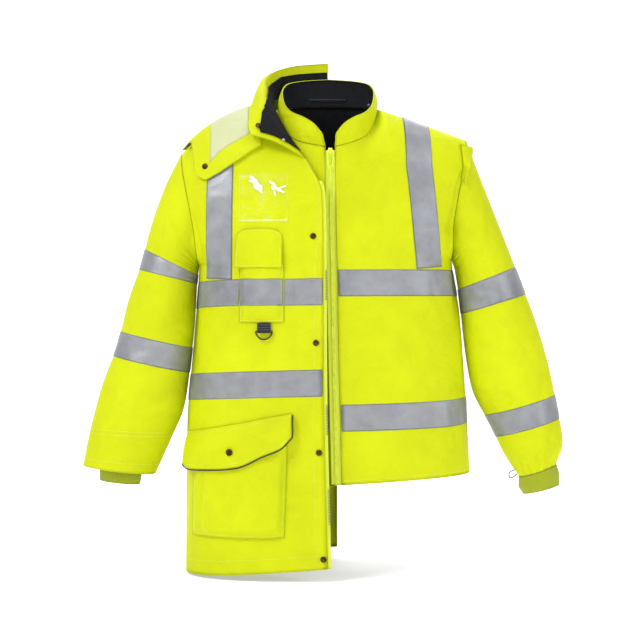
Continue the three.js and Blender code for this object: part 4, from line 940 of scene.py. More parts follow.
def webbing(name, base, deep, pitch=0.0016, glow=0.0):
    """Narrow woven tape with a raised herringbone."""
    finish = Finish(name, Base_Color=base, Sheen_Weight=0.3, Specular_IOR_Level=0.25)
    _, across, along = finish.cloth_place()
    zig = ((across / (pitch * 4)).fract() - 0.5).abs() * 4.0
    rows = ((along / pitch + zig) * 2 * math.pi).sin()
    fuzz = finish.noise(1600.0, 3.0, 0.6)
    finish.dye(finish.blend((rows * 0.4 + fuzz * 0.6).fit(-0.2, 0.8), deep, base), glow)
    finish.set("Roughness", fuzz.fit(0.0, 1.0, 0.65, 0.9))
    finish.set("Normal", finish.bump(rows + fuzz * 0.4, 0.55, 0.0003))
    return finish.material


def clear_film(name):
    """Soft clear vinyl that shows the cloth, with two bent glints of the studio light painted into its colour
    and alpha; these painted glints don't move with the light.
    """
    finish = Finish(name, Base_Color=(1.0, 1.0, 1.0, 1.0), Specular_IOR_Level=0.6, IOR=1.5, Coat_IOR=1.5)
    uv, across, along = finish.cloth_place()
    bend = finish.noise(46.0, 3.0, 0.55, uv) - 0.5
    fine = finish.noise(120.0, 3.0, 0.6, uv) - 0.5

    # One painted glint: a bent white streak, opaque in its middle, that stands for a reflection of the studio
    # light.
    def glint(a0, b0, angle, long, wide):
        c, s = math.cos(angle), math.sin(angle)
        reach = ((across - a0) * c + (along - b0) * s) / long
        side = ((along - b0) * c - (across - a0) * s + bend * 0.02 + fine * 0.012) / wide
        return (1.0 - reach * reach - side * side).fit(0.0, 0.25)

    # Painted glints: the white streaks where the light caught the film, painted in place as five overlapping
    # streaks.
    painted_glints = glint(0.036, 0.073, -1.0, 0.022, 0.0046)
    for place in ((0.029, 0.081, 0.25, 0.010, 0.0016), (0.073, 0.067, -0.75, 0.020, 0.0034),
                  (0.083, 0.068, 0.3, 0.010, 0.0019), (0.068, 0.060, -1.15, 0.013, 0.0015)):
        painted_glints = painted_glints.high(glint(*place))
    haze = finish.noise(60.0, 3.0, 0.5)
    finish.set("Base Color", finish.blend(haze, colour("F3F7D8"), colour("FFFFFF")))
    hem = (1.0 - (along - 0.004).abs() / 0.0016).fit(0.0, 1.0) * haze.fit(0.3, 0.6)
    finish.set("Alpha", haze.fit(0.4, 0.9, 0.0, 0.06) + painted_glints * 0.9 + hem * 0.5)
    finish.set("Roughness", haze.fit(0.2, 0.8, 0.08, 0.2))
    finish.set("Coat Weight", bend.fit(-0.3, 0.3, 0.3, 0.6))
    finish.set("Normal", finish.bump(finish.noise(24.0, 3.0, 0.45, spread=1.4), 0.5, 0.003))
    return finish.material


def banded(name, base, dark, light):
    """Zip teeth that look grey where the reflective tape runs on behind them."""
    finish = Finish(name, Coat_Weight=0.2)
    place = Value(finish, finish.node("ShaderNodeSeparateXYZ", {}, {0: finish.place()}).outputs[2])
    grey = (1.0 - (place + 0.315).abs() / 0.03).fit(0.0, 0.1)
    grey = grey.high((1.0 - (place + 0.568).abs() / 0.03).fit(0.0, 0.1))
    grey = grey.high((1.0 - (place + 0.73).abs() / 0.035).fit(0.0, 0.1))
    speck = finish.noise(900.0, 3.0, 0.6)
    finish.dye(finish.blend(grey, base, finish.blend(speck.fit(0.4, 0.6), dark, light)), 0.05)
    finish.set("Roughness", speck.fit(0.2, 0.8, 0.35, 0.55))
    return finish.material


# Finishes, made once and shared by the pieces

FINISHES = {}


def finish(name):
    """The material of that name, made when it is first asked for."""
    if name not in FINISHES:
        sizes = bpy.context.scene.jacket_cloth
        lime, shade = (*sizes.hi_vis, 1.0), colour("B8C006")
        makers = {
            # The cloth's glow is a painted glow that stands for its fluorescence.
            "hi_vis": lambda: woven("hi_vis_cloth", lime, shade, glow=sizes.glow, pitch=sizes.thread_pitch),
            "hi_vis_backing": lambda: woven("coat_backing", colour("A9B41C"), colour("8E9A14"), 0.7),
            "tape": lambda: reflective_tape("reflective_tape"),
            "fleece": lambda: fleece("black_fleece", colour("26272A"), colour("121316")),
            "knit": lambda: knitted("knit_cuff", colour("B2BD18"), colour("808B0E")),
            "metal": lambda: aged_metal("dark_metal", colour("2C2412"), colour("6A5A34")),
            "piping": lambda: webbing("dark_piping", colour("3C4014"), colour("22250C"), 0.0009),
            # The shoulder flap's panel: light silver reflective tape, coloured a pale yellowish white as a
            # painted highlight of the light from above.
            "pale": lambda: woven("pale_panel", colour("CACDA6"), colour("BBC18E"), 0.45, sheen=0.1),
            "film": lambda: clear_film("clear_film"),
            "plastic": lambda: moulded("black_plastic", colour("17181A"), colour("0C0D0E")),
            "webbing": lambda: webbing("black_webbing", colour("26282B"), colour("101113")),
            "elastic": lambda: webbing("elastic_cord", colour("1B1C1E"), colour("0C0C0D"), 0.0008),
            # The inner zip's teeth and tape glow: painted light that lifts the shade of the trough between
            # the jacket's fronts, where they sit.
            "teeth": lambda: moulded("zip_teeth", colour("E6F04A"), colour("CFDD2C"), 0.4, 0.12),
            "zip_tape": lambda: webbing("zip_tape", colour("E9F35A"), colour("D6E436"), 0.0012, 0.1),
            "coat_teeth": lambda: banded("coat_zip_teeth", colour("DCE83C"), colour("4A4D38"),
                                         colour("9A9C98")),
            "steel": lambda: aged_metal("bright_metal", colour("B4B6B4"), colour("7C7E7C")),
            "thread": lambda: moulded("sewing_thread", colour("F0FA9A"), colour("C9DC30"), 0.6),
            "grey_thread": lambda: moulded("grey_thread", colour("C9CCD0"), colour("8E9298"), 0.6),
        }
        FINISHES[name] = makers[name]()
    return FINISHES[name]


def declare(obj, p, closed=False):
    """Works out the flat size that a finished piece was cut to, but keeps it nowhere; returns the piece as it
    is.
    """
    flat, area = cut_size(p, closed)
    return obj


# Body, sleeves and collars

def make_panel(name, surf, share, thick, inside, node):
    cloth = Cloth()
    cloth.wall(surf.p, thick, panel_edges(surf, share), lengths(surf.p), last=1 if inside == "fleece" else 0)
    obj = cloth.make(name, [finish("hi_vis"), finish(inside)], [node], "hi_vis_cloth")
    return declare(obj, surf.p)


def make_body():
    return [
        make_panel("inner_front_left", inner_left, 0.38, JACKET, "fleece", "jacket_front_left"),
        make_panel("inner_front_right", inner_right, 0.38, JACKET, "fleece", "jacket_front_right"),
        make_panel("inner_back", inner_back_all, 0.38, JACKET, "fleece", "jacket_back"),
        make_panel("outer_front", coat_front, 0.36, SHELL, "hi_vis_backing", "coat_front"),
        make_panel("outer_back", coat_back, 0.36, SHELL, "hi_vis_backing", "coat_back"),
    ]


def make_sleeve(name, surf, thick, inside, node):
    p, n = closed_grid(surf)
    n = n.copy()
    away = p[0] - p[0].mean(axis=0)
    away[:, 0] = 0
    n[0] = unit(away)
    cloth = Cloth()
    cloth.wall(p, thick, n, lengths(p, True), closed=True)
    obj = cloth.make(name, [finish("hi_vis"), finish(inside)], [node], "hi_vis_cloth")
    return declare(obj, p, True)


def make_sleeves():
    return [
        make_sleeve("zip_off_sleeve", coat_arm, SHELL, "hi_vis_backing", "coat_sleeve"),
        make_sleeve("inner_sleeve_left", left_arm, JACKET, "fleece", "jacket_sleeve_left"),
        make_sleeve("inner_sleeve_right", hidden_arm, JACKET, "fleece", "jacket_sleeve_right"),
    ]


def make_collar(name, surf, thick, node, inside="hi_vis"):
    n = surf.n.copy()
    n[0, :, 2] = 0
    n = unit(n)
    cloth = Cloth()
    cloth.wall(surf.p, thick, n, lengths(surf.p))
    obj = cloth.make(name, [finish("hi_vis"), finish(inside)], [node], "hi_vis_cloth")
    return declare(obj, surf.p)


def part_of(surf, ss, ts, lift, folded=True, top=None):
    """Points and normals of part of a surface, moved out by lift (negative is inwards)."""
    s, t = np.meshgrid(ss, ts)
    if top is not None:
        t = mix(ts[0], top(s), (t - ts[0]) / (ts[-1] - ts[0]))
    return surf.at(s, t, lift, folded), surf.normal(s, t)


def fleece_top(u):
    """How far up the coat's collar the fleece reaches; the cloth turns in widest at the side of the neck."""
    return np.interp(u, (0.05, 0.1, 0.2, 0.3, 0.4, 0.5, 0.6, 0.66, 0.72, 1),
                     (0.77, 0.75, 0.62, 0.44, 0.33, 0.33, 0.45, 0.6, 0.76, 0.77))


def make_lining(name, surf, ss, ts, outer_wall, gap, wall, node, top=None):
    p, n = part_of(surf, ss, ts, -(outer_wall + gap), top=top)
    cloth = Cloth()
    cloth.wall(p, wall, n, lengths(p), slots=(0, 0, 0))
    obj = cloth.make(name, [finish("fleece")], [node], "black_cloth")
    return declare(obj, p)


def make_collars():
    sizes = bpy.context.scene.jacket_cloth
    wall = sizes.lining / MM
    pieces = [
        make_collar("inner_collar", inner_collar, JACKET, "jacket_collar", "fleece"),
        make_collar("outer_collar", coat_collar, SHELL, "coat_collar"),
        make_lining("inner_collar_fleece", inner_collar, np.linspace(-0.92, 0.92, 130),
                    np.linspace(-0.1, 0.95, 26), JACKET, 0.9, wall, "jacket_collar_lining"),
        make_lining("outer_collar_fleece", coat_collar, np.linspace(0.05, 0.995, 100),
                    np.linspace(-0.1, 0.77, 26), SHELL, 2.2, wall, "coat_collar_lining", fleece_top),
        make_lining("hem_facing", inner_back_all, np.linspace(-0.95, 0.95, 130), np.linspace(0.03, 1.15, 26),
                    JACKET, 0.7, wall, "jacket_hem_facing"),
    ]
    return pieces


# Knit cuffs

right_cuff_rings = Table(RING, [
    [364.5, -665, 438.5, -653, -45.3, 36], [362, -682, 442, -674, -46, 37], [364, -698, 441, -690, -46, 35],
])
left_cuff_rings = Table(RING, [
    [371.4, -685, 443.6, -661, -45.3, 36], [371, -702, 449, -681, -46, 37], [378, -717, 448, -699, -47, 35],
])


def make_cuff(name, rings, side, node):
    """A ribbed tube, a little fuller in the middle."""
    around, ribs = 288, bpy.context.scene.jacket_cloth.cuff_ribs
    a, r = np.meshgrid(np.linspace(0, 1, around + 1)[:-1], np.linspace(0, 2, 17))
    q = rings.at(r)
    turn = (1 - np.cos(2 * math.pi * a)) / 2
    p = xyz(side * mix(q["ix"], q["ox"], turn), q["cy"] - q["half"] * np.sin(2 * math.pi * a),
            mix(q["iz"], q["oz"], turn))
    middle = p.mean(axis=1, keepdims=True)
    n = unit(p - middle)
    rib = 0.45 * np.cos(2 * math.pi * a * ribs) + 0.5 * np.sin(2 * math.pi * a * 3 + r) * np.sin(r * 2.2)
    p = p + n * rib[..., None]
    cloth = Cloth()
    cloth.wall(p, 2.0, n, lengths(p, True), slots=(0, 0, 0), closed=True, rim=4)
    obj = cloth.make(name, [finish("knit")], [node], "knit")
    return declare(obj, p, True)


def make_cuffs():
    return [
        make_cuff("knit_cuff_of_left_sleeve", left_cuff_rings, 1, "knit_cuff_left"),
        make_cuff("knit_cuff_of_right_sleeve", right_cuff_rings, -1, "knit_cuff_right"),
    ]


# Places on a panel, found from the sizes seen from the front

def halve(low, high, short, rounds):
    """Closes in, by halving, on the places between two arrays at which short() turns false."""
    for _ in range(rounds):
        middle = (low + high) / 2
        below = short(middle)
        low, high = np.where(below, middle, low), np.where(below, high, middle)
    return (low + high) / 2


def spot(surf, x, z):
    """Panel coordinates of the places at (x, z), as two arrays."""
    x, z = np.broadcast_arrays(np.asarray(x, float), np.asarray(z, float))
    none = np.zeros(x.shape)
    u, v = none + 0.5, none + 3.0
    for _ in range(5):
        v = halve(none, none + (TOP - 0.02), lambda t: surf.at(u, t, folded=False)[..., 2] < z, 20)
        u = halve(none + max(surf.us[0], 0.0), none + surf.us[-1],
                  lambda t: np.abs(surf.at(t, v, folded=False)[..., 0]) < np.abs(x), 20)
    return u, v


def row_at(surf, u, z):
    """How far up the panel its columns u reach the height z."""
    none = np.zeros(np.shape(u))
    return halve(none, none + (TOP - 0.5), lambda t: surf.at(u, t, folded=False)[..., 2] < z, 22)


def column_at(surf, v, x):
    """How far across the panel its rows v are x away from the middle."""
    none = np.zeros(np.shape(v))
    return halve(none, none + 1, lambda t: np.abs(surf.at(t, v, folded=False)[..., 0]) < x, 22)


STITCHES = {"thread": [], "grey_thread": []}


def stitch(p, n, kind="thread", lift=0.25):
    """Keeps a line of sewing, given as points with normals, for the stitches made later."""
    STITCHES[kind].append((p + n * lift, n))


def rim_height(s, t, edge_s, edge_t):
    """1 in the middle of a patch, falling to 0 round its sewn edges."""
    near = np.minimum(np.minimum(s, 1 - s) / edge_s, np.minimum(t, 1 - t) / edge_t)
    return ease(near)


TAPE_WALL = 0.7
TAPE_LIFT = 0.75
BRACE_LIFT = 1.3     # a brace bridges the hollows of the chest


def make_tape(name, place, surf, node, counts=(90, 16), closed=False, lift=TAPE_LIFT, puff=0.5, sewn=True):
    """A band of tape; place(s, t) gives panel coordinates, with s along it and t across."""
    s, t = np.meshgrid(np.linspace(0, 1, counts[0] + 1), np.linspace(0, 1, counts[1] + 1))
    if closed:
        s, t = s[:, :-1], t[:, :-1]
    u, v = place(s, t)
    # The sewn edges lie down and the middle stands a little proud, with a ripple along it.
    swell = puff * ease(np.minimum(t, 1 - t) / 0.14)
    swell = swell + 0.22 * np.sin(s * 31 + 2 * np.sin(s * 9)) * ease(np.minimum(t, 1 - t) / 0.3)
    p = surf.at(u, v, lift + swell)
    n = surf.normal(u, v)
    cloth = Cloth()
    cloth.wall(p, TAPE_WALL, n, lengths(p, closed), slots=(0, 0, 0), closed=closed)
    obj = cloth.make(name, [finish("tape")], [node] if node else [], "reflective_tape")
    if sewn:
        for row in (0.045, 0.955):
            uu, vv = place(np.linspace(0, 1, 400), np.full(400, row))
            stitch(surf.at(uu, vv, lift + 0.25), surf.normal(uu, vv), "grey_thread", 0.1)
    return declare(obj, p, closed)


def band_round(surf, u0, u1, top_a, top_b):
    width = bpy.context.scene.jacket_trim.tape_width / MM

    def place(s, t):
        u = mix(u0, u1, s)
        return u, row_at(surf, u, mix(top_a, top_b, s) - width * (1 - t))
    return place


def band_up(surf, v0, v1, x0, x1):
    width = bpy.context.scene.jacket_trim.tape_width / MM

    def place(s, t):
        v = mix(v0, v1, s)
        return column_at(surf, v, mix(x0, x1, s) + width * (t - 0.5)), v
    return place


def band_ring(r0, r1):
    return lambda s, t: (s, mix(r0, r1, t))


def make_tapes():
    behind, right = inner_back_all, inner_right
    side = float(spot(coat_front, -167.5, -330)[0])
    centre = [float(spot(coat_front, x, -330)[0]) for x in (-11, -81.5)]

    def over(surf, xs, z):
        """The row at which a brace ends, just above the band across it."""
        return max(float(spot(surf, x, z + 0.8)[1]) for x in xs)

    feet = [over(coat_front, (-182, -205, -228), -305), over(coat_back, (-166, -190, -214), -305),
            over(inner_left, (170, 194, 218), -284.6), over(behind, (154, 178, 202), -284)]
    rows = [
        ("coat_brace_front", coat_front, band_up, (feet[0], 7.2, 207, 205)),
        ("coat_waist_front", coat_front, band_round, (0.003, 0.985, -474, -487)),
        ("coat_waist_back", coat_back, band_round, (0.01, 0.985, -476, -487)),
        ("coat_chest_back", coat_back, band_round, (0.01, 0.96, -304, -309)),
        ("coat_brace_back", coat_back, band_up, (feet[1], 7.2, 190, 200)),
        ("coat_chest_side", coat_front, band_round, (side, 0.97, -304, -309)),
        ("coat_chest_centre", coat_front, band_round, (*centre, -303, -304)),
        ("inner_chest_front", inner_left, band_round, (0.003, 0.97, -286, -284)),
        ("inner_waist_front", inner_left, band_round, (0.003, 0.985, -541, -530)),
        ("inner_brace_front", inner_left, band_up, (feet[2], 7.88, 194, 170)),
        ("inner_waist_back", behind, band_round, (-0.96, 0.985, -531, -531)),
        ("inner_chest_back", behind, band_round, (-0.94, 0.92, -284, -284)),
        ("inner_brace_back", behind, band_up, (feet[3], 7.88, 178, 172)),
        ("inner_chest_right", right, band_round, (0.003, 0.3, -286, -285)),
        ("inner_waist_right", right, band_round, (0.003, 0.3, -541, -538)),
    ]
    made = []
    for name, surf, band, ends in rows:
        brace = "brace" in name
        wide = 150 if surf is behind and not brace else 90
        layer, _, where = name.partition("_")
        node = "%s_tape_%s" % (layer.replace("inner", "jacket"), where)
        lift = BRACE_LIFT if brace else TAPE_LIFT
        made.append(make_tape(name, band(surf, *ends), surf, node, (wide, 16), lift=lift))
    for name, surf, r0, r1, node in (
        ("coat_sleeve_band_upper", coat_arm, 2.62, 3.22, "coat_tape_sleeve_upper"),
        ("coat_sleeve_band_lower", coat_arm, 4.72, 5.3, "coat_tape_sleeve_lower"),
        ("inner_sleeve_band_upper", left_arm, 2.78, 3.36, "jacket_tape_sleeve_upper"),
        ("inner_sleeve_band_lower", left_arm, 5.68, 6.32, "jacket_tape_sleeve_lower"),
    ):
        made.append(make_tape(name, band_ring(r0, r1), surf, node, (130, 12), True))
    return made


# Pockets and flaps on the coat

def make_patch(name, place, height, wall, counts, materials, nodes, slot):
    """A piece laid on the coat's front: place(s, t) gives x and z in millimetres."""
    s, t = np.meshgrid(np.linspace(0, 1, counts[0] + 1), np.linspace(0, 1, counts[1] + 1))
    x, z = place(s, t)
    u, v = spot(coat_front, x, z)
    p = coat_front.at(u, v, height(s, t))
    n = coat_front.normal(u, v)
    cloth = Cloth()
    cloth.wall(p, wall, n, lengths(p), slots=(0, 0, 0))
    obj = cloth.make(name, materials, nodes, slot)
    declare(obj, p)
    return obj, (lambda a, b, lift=0.0: on_patch(place, height, a, b, lift))


def on_patch(place, height, a, b, lift):
    """Places on a patch and the normals of the panel under it."""
    x, z = place(a, b)
    u, v = spot(coat_front, x, z)
    return coat_front.at(u, v, height(a, b) + lift), coat_front.normal(u, v)


def box_place(x0, x1, z0, z1):
    return lambda s, t: (mix(x0, x1, s), mix(z0, z1, t))


def sew_round(sample, inset_s, inset_t, sides="lbr", kind="thread", both=None):
    """Stitches inside the left, bottom, right and top edges of a patch."""
    run = np.linspace(0, 1, 220)
    for gap in (1.0,) if both is None else (1.0, both):
        a, b = inset_s * gap, inset_t * gap
        paths = {"l": (np.full(220, a), mix(b, 1 - b, run)), "r": (np.full(220, 1 - a), mix(b, 1 - b, run)),
                 "b": (mix(a, 1 - a, run), np.full(220, b)), "t": (mix(a, 1 - a, run), np.full(220, 1 - b))}
        for side in sides:
            stitch(*sample(*paths[side]), kind)


flap_edge = Table("x top low", [
    [-264, -594, -652], [-246, -591, -663], [-205, -583, -661], [-165, -575, -656],
    [-122, -566, -636], [-84, -559, -618], [-68, -556, -598],
])
FLAP_LIFT = 18.0
POCKET_WALL = 1.4


def flap_place(s, t):
    row = flap_edge.at(s * 6)
    return row["x"], mix(row["low"], row["top"], t)


def flap_height(s, t):
    base = mix(FLAP_LIFT, 2.4, np.asarray(t) ** 3) * clamp(0.7 + 6 * np.minimum(s, 1 - s))
    # The lower edge ripples, and a shallow dent runs up beside the stud.
    ripple = 1.3 * np.sin(s * 17 + 0.6) * (1 - t) ** 2 + 0.8 * np.sin(s * 37 + 1.1) * (1 - t) ** 3
    dent = -2.2 * np.exp(-(((s - 0.42) / 0.1) ** 2)) * np.exp(-(((t - 0.35) / 0.3) ** 2))
    return base + ripple + dent + 1.4


def cargo_place(s, t):
    x = mix(mix(-256, -249, t), mix(-82, -76, t), s)
    return x, mix(mix(-790, -786, s ** 8), -630 + 14 * s, t)


def cargo_height(s, t):
    """Bellows: the sides fold under, the front stands proud and sags a little at its foot."""
    body = ease(np.minimum(s, 1 - s) / 0.085) * clamp(t / 0.1, 0.15, 1)
    pleat = -2.6 * np.exp(-(((s - 0.125) / 0.02) ** 2)) * ease(t * 4)
    sag = 1.6 * np.sin(math.pi * s) * np.exp(-(((t - 0.25) / 0.2) ** 2))
    crumple = 0.9 * np.sin(9 * s + 4 * t) * np.sin(math.pi * s) * np.sin(math.pi * t)
    return 2.6 + 11 * body + (pleat + sag + crumple) * ease(np.minimum(s, 1 - s) / 0.05)


def phone_place(s, t):
    return box_place(-166, -83, -385, -276)(s, t)


def phone_height(s, t):
    body = ease(np.minimum(s, 1 - s) / 0.15) * clamp(t / 0.12, 0.2, 1)
    return 2.4 + 5 * body + 0.5 * np.sin(7 * s + 5 * t) * rim_height(s, t, 0.2, 0.2)


def phone_flap_place(s, t):
    dome = np.sqrt(np.maximum(0, 1 - (2 * s - 1) ** 4))
    return mix(-172, -86, s), mix(-283, mix(-228, -209, dome), t)


def phone_flap_height(s, t):
    return mix(10.2, 3.6, t ** 2) + 1.8 * rim_height(s, t, 0.22, 0.3) + 0.5 * np.sin(8 * s) * (1 - t) ** 2


def make_pockets():
    lime = [finish("hi_vis")]
    made = []
    obj, at = make_patch("phone_pocket_body", phone_place, phone_height, POCKET_WALL, (52, 60), lime,
                         ["phone_pocket"], "hi_vis_cloth")
    sew_round(at, 0.03, 0.022, "lbr")
    made.append(obj)
    tape_s = lambda s, t: phone_height(0.02 + 0.96 * s, 0.2 + 0.1 * t) + 0.9
    obj, at = make_patch("chest_band_on_pocket", box_place(-164.5, -84.5, -354, -304), tape_s, TAPE_WALL,
                         (50, 20), [finish("tape")], ["coat_tape_chest_pocket"], "reflective_tape")
    sew_round(at, 0.03, 0.045, "bt", "grey_thread")
    sew_round(at, 0.035, 0.02, "r")
    made.append(obj)
    obj, at = make_patch("phone_pocket_top_flap", phone_flap_place, phone_flap_height, 1.8, (60, 46), lime,
                         ["phone_pocket_flap"], "hi_vis_cloth")
    sew_round(at, 0.035, 0.05, "lbrt")
    made.append(obj)
    film = lambda s, t: 1.9 + 0.9 * rim_height(s, t, 0.12, 0.12) + 0.35 * np.sin(11 * s + 3) * np.sin(8 * t)
    obj, at = make_patch("clear_card_pocket", box_place(-169, -75, -197, -103), film, 0.5, (48, 48),
                         [finish("film")], ["card_pocket"], "clear_film")
    sew_round(at, 0.02, 0.02, "lbr")
    made.append(obj)
    obj, at = make_patch("cargo_pocket_body", cargo_place, cargo_height, POCKET_WALL, (92, 66), lime,
                         ["cargo_pocket"], "hi_vis_cloth")
    sew_round(at, 0.02, 0.022, "lbr")
    sew_round(at, 0.16, 0.05, "l")
    made.append(obj)
    obj, at = make_patch("cargo_pocket_flap", flap_place, flap_height, 1.8, (100, 38), lime,
                         ["cargo_flap"], "hi_vis_cloth")
    sew_round(at, 0.028, 0.09, "lbrt")
    made.append(obj)
    return made


# Small parts: cords, studs, zips, the ring and its tab

POLE = 0.0004


def along(path):
    """Unit directions along a path of points."""
    return unit(np.gradient(np.asarray(path, float), axis=0))


def tube(cloth, path, radius, sides=14, closed=False, slot=0):
    """A round bar along a path; its open ends are rounded."""
    path = np.asarray(path, float)
    count = len(path)
    if closed:
        ahead = unit(np.roll(path, -1, axis=0) - np.roll(path, 1, axis=0))
    else:
        ahead = along(path)
    side = np.zeros_like(path)
    side[0] = unit(np.cross(ahead[0], [0.31, 0.77, 0.55]))
    for k in range(1, count):
        side[k] = unit(side[k - 1] - ahead[k] * np.dot(side[k - 1], ahead[k]))
    up = np.cross(ahead, side)
    turn = np.linspace(0, 2 * math.pi, sides + 1)[:-1]

    def ring(k, reach, size):
        circle = np.cos(turn)[:, None] * side[k] + np.sin(turn)[:, None] * up[k]
        return path[k] + ahead[k] * reach + circle * size

    bends = [math.pi / 2 * q for q in (0.999, 0.7, 0.35)]
    rings = [] if closed else [ring(0, -radius * math.sin(q), max(radius * math.cos(q), POLE)) for q in bends]
    rings += [ring(k, 0, radius) for k in range(count)]
    if closed:
        rings.append(rings[0])
    else:
        rings += [ring(count - 1, radius * math.sin(q), max(radius * math.cos(q), POLE)) for q in bends[::-1]]
    p = np.stack(rings)
    # A closed loop's last ring meets its first one, turned to match it.
    if closed:
        gap = [np.linalg.norm(np.roll(p[-2], -k, axis=0) - p[0], axis=1).sum() for k in range(sides)]
        p[-1] = np.roll(p[0], int(np.argmin(gap)), axis=0)
    cloth.grid(p, lengths(p, True), slot, True, True)


def lathe(cloth, profile, place, axis, sides=32, slot=0):
    """Turns a profile of radius and height, from pole to pole, about an axis."""
    axis = unit(np.asarray(axis, float))
    one = unit(np.cross(axis, [0.2, 0.1, 1.0]))
    two = np.cross(axis, one)
    turn = np.linspace(0, 2 * math.pi, sides + 1)[:-1]
    circle = np.cos(turn)[:, None] * one + np.sin(turn)[:, None] * two
    p = np.stack([np.asarray(place) + axis * h + circle * max(r, POLE) for r, h in profile])
    cloth.grid(p, lengths(p, True), slot, True)


def slab(cloth, place, outline, wide, slot=0, round_edge=0.25):
    """A bar of that outline (depth to the front, height), drawn wide along X, with rounded edges."""
    outline = np.asarray(outline, float)
    middle = outline.mean(axis=0)
    rows = []
    for x, size in ((-wide / 2, POLE), (-wide / 2, 0.9), (-wide / 2 + round_edge, 1.0),
                    (wide / 2 - round_edge, 1.0), (wide / 2, 0.9), (wide / 2, POLE)):
        flat = middle + (outline - middle) * size
        rows.append(np.stack([np.full(len(flat), x), -flat[:, 0], flat[:, 1]], axis=1) + place)
    p = np.stack(rows)
    cloth.grid(p, lengths(p, True), slot, True)


# A press stud's cap, as radius and height
CAP = [(0, 0), (5.2, 0), (5.7, 0.35), (5.75, 0.9), (5.4, 1.5), (4.5, 1.95), (3.9, 1.9), (3.5, 1.55),
       (2.6, 1.75), (1.3, 2.2), (0, 2.35)]


def press_stud(name, surf, x, z, lift, node=None, size=1.0, metal="metal"):
    u, v = spot(surf, x, z)
    profile = [(r * size, h) for r, h in CAP]
    cloth = Cloth()
    lathe(cloth, profile, surf.at(u, v, lift), surf.normal(u, v))
    return cloth.make(name, [finish(metal)], [node] if node else [], "dark_metal")


SHOULDER_LIFT = 4.6   # how far the shoulder flap lies out over the seams and the brace's tape
flap_front = Table("x z", [[-128, -50], [-156, -69], [-184, -87], [-212, -104], [-233, -114], [-252, -100]])


def over_shoulder(s, t, lift):
    """A place on the shoulder flap, from its front edge at t = -1 over the ridge to the back at 1."""
    s, t = np.broadcast_arrays(np.asarray(s, float), np.asarray(t, float))
    shares, which = np.unique(s, return_inverse=True)
    row = flap_front.at(shares * 5)
    front_u, front_v = (found[which].reshape(s.shape) for found in spot(coat_front, row["x"], row["z"]))
    ridge, back_u = mix(0.44, 0.98, s), mix(0.44, 0.9, s)
    front = coat_front.at(mix(ridge, front_u, np.abs(t)), mix(TOP, front_v, np.abs(t)), lift)
    back = coat_back.at(mix(ridge, back_u, np.abs(t)), mix(TOP, 7.4, np.abs(t)), lift)
    share = ease((t + 0.06) / 0.12)[..., None]
    return mix(front, back, share)


def grid_normals(p):
    du, dv = np.gradient(p, axis=1), np.gradient(p, axis=0)
    n = unit(np.cross(du, dv))
    middle = p.reshape(-1, 3).mean(axis=0)
    outwards = np.sum(n * (p - (middle + np.array([60, 0, -150]))), axis=2).mean()
    return n if outwards > 0 else -n


def make_shoulder_flap():
    """The flap that buttons over the shoulder, with its pale panel and two studs; the panel is light
    reflective tape, painted paler as a painted highlight of the light from above.
    """
    def piece(name, ss, ts, lift, wall, kind, node, slot):
        s, t = np.meshgrid(ss, ts)
        soft = 0.7 * np.sin(s * 9 + t * 3) * (1 - np.abs(t)) + 0.6 * np.cos(t * 7)
        near = np.minimum.reduce([s - ss[0], ss[-1] - s, (t - ts[0]) * 0.7, (ts[-1] - t) * 0.7])
        p = over_shoulder(s, t, lift + soft * 0.5 + 0.8 * ease(near / 0.07))
        n = grid_normals(p)
        cloth = Cloth()
        cloth.wall(p + n * wall, wall, n, lengths(p), slots=(0, 0, 0))
        obj = cloth.make(name, [finish(kind)], [node], slot)
        declare(obj, p)
        return obj, p, n

    flap, p, n = piece("shoulder_flap_cloth", np.linspace(0, 1, 60), np.linspace(-1, 1, 90), SHOULDER_LIFT,
                       1.6, "hi_vis", "shoulder_flap", "hi_vis_cloth")
    for row in ((slice(3, -3), 3), (slice(3, -3), -4), (3, slice(3, -3)), (-4, slice(3, -3))):
        stitch(p[row] + n[row] * 1.7, n[row])
    # The panel's pale colour is partly painted highlight: light reflective tape, painted whiter where the
    # light from above catches it.
    panel, q, m = piece("shoulder_flap_pale_panel", np.linspace(1 / 8, 5 / 8, 36), np.linspace(-0.8, 0, 44),
                        SHOULDER_LIFT + 1.9, 0.7, "pale", "shoulder_flap_panel", "pale_panel")
    for row in ((slice(1, -1), 1), (slice(1, -1), -2), (1, slice(1, -1))):
        stitch(q[row] + m[row] * 0.9, m[row])
    return [
        flap, panel,
        press_stud("shoulder_cap_outer", coat_front, -264, -46, 6.9, "shoulder_stud_1"),
        press_stud("shoulder_cap_front", coat_front, -232, -89, 7.2, "shoulder_stud_2"),
    ]


def make_studs():
    """Press studs down the placket, inside the collars and on the cargo flap."""
    placket = [(-28, -223.5), (-22.5, -424), (-17, -629), (-8.6, -828)]
    made = [press_stud("placket_cap_%d" % k, coat_front, x, z, 0.7, "placket_stud_%d" % k)
            for k, (x, z) in enumerate(placket, 1)]
    collar = (  # place on the collar, size, depth behind its face, finish
        (0.12, 0.76, coat_collar, 0.95, SHELL + 3.6, "metal"),
        (0.045, 0.34, coat_collar, 0.5, SHELL + 3.6, "steel"),
        (0.28, 0.12, inner_collar, 0.5, JACKET + 2.4, "steel"),
    )
    for k, (u, v, surf, size, depth, look) in enumerate(collar, 1):
        cloth = Cloth()
        lathe(cloth, [(r * size, h) for r, h in CAP], surf.at(u, v, -depth), -surf.normal(u, v))
        made.append(cloth.make("collar_cap_%d" % k, [finish(look)], slot="dark_metal"))
    made.append(press_stud("cargo_cap", coat_front, -178.6, -629, FLAP_LIFT + 1.4, "cargo_stud", 1.16))
    return made


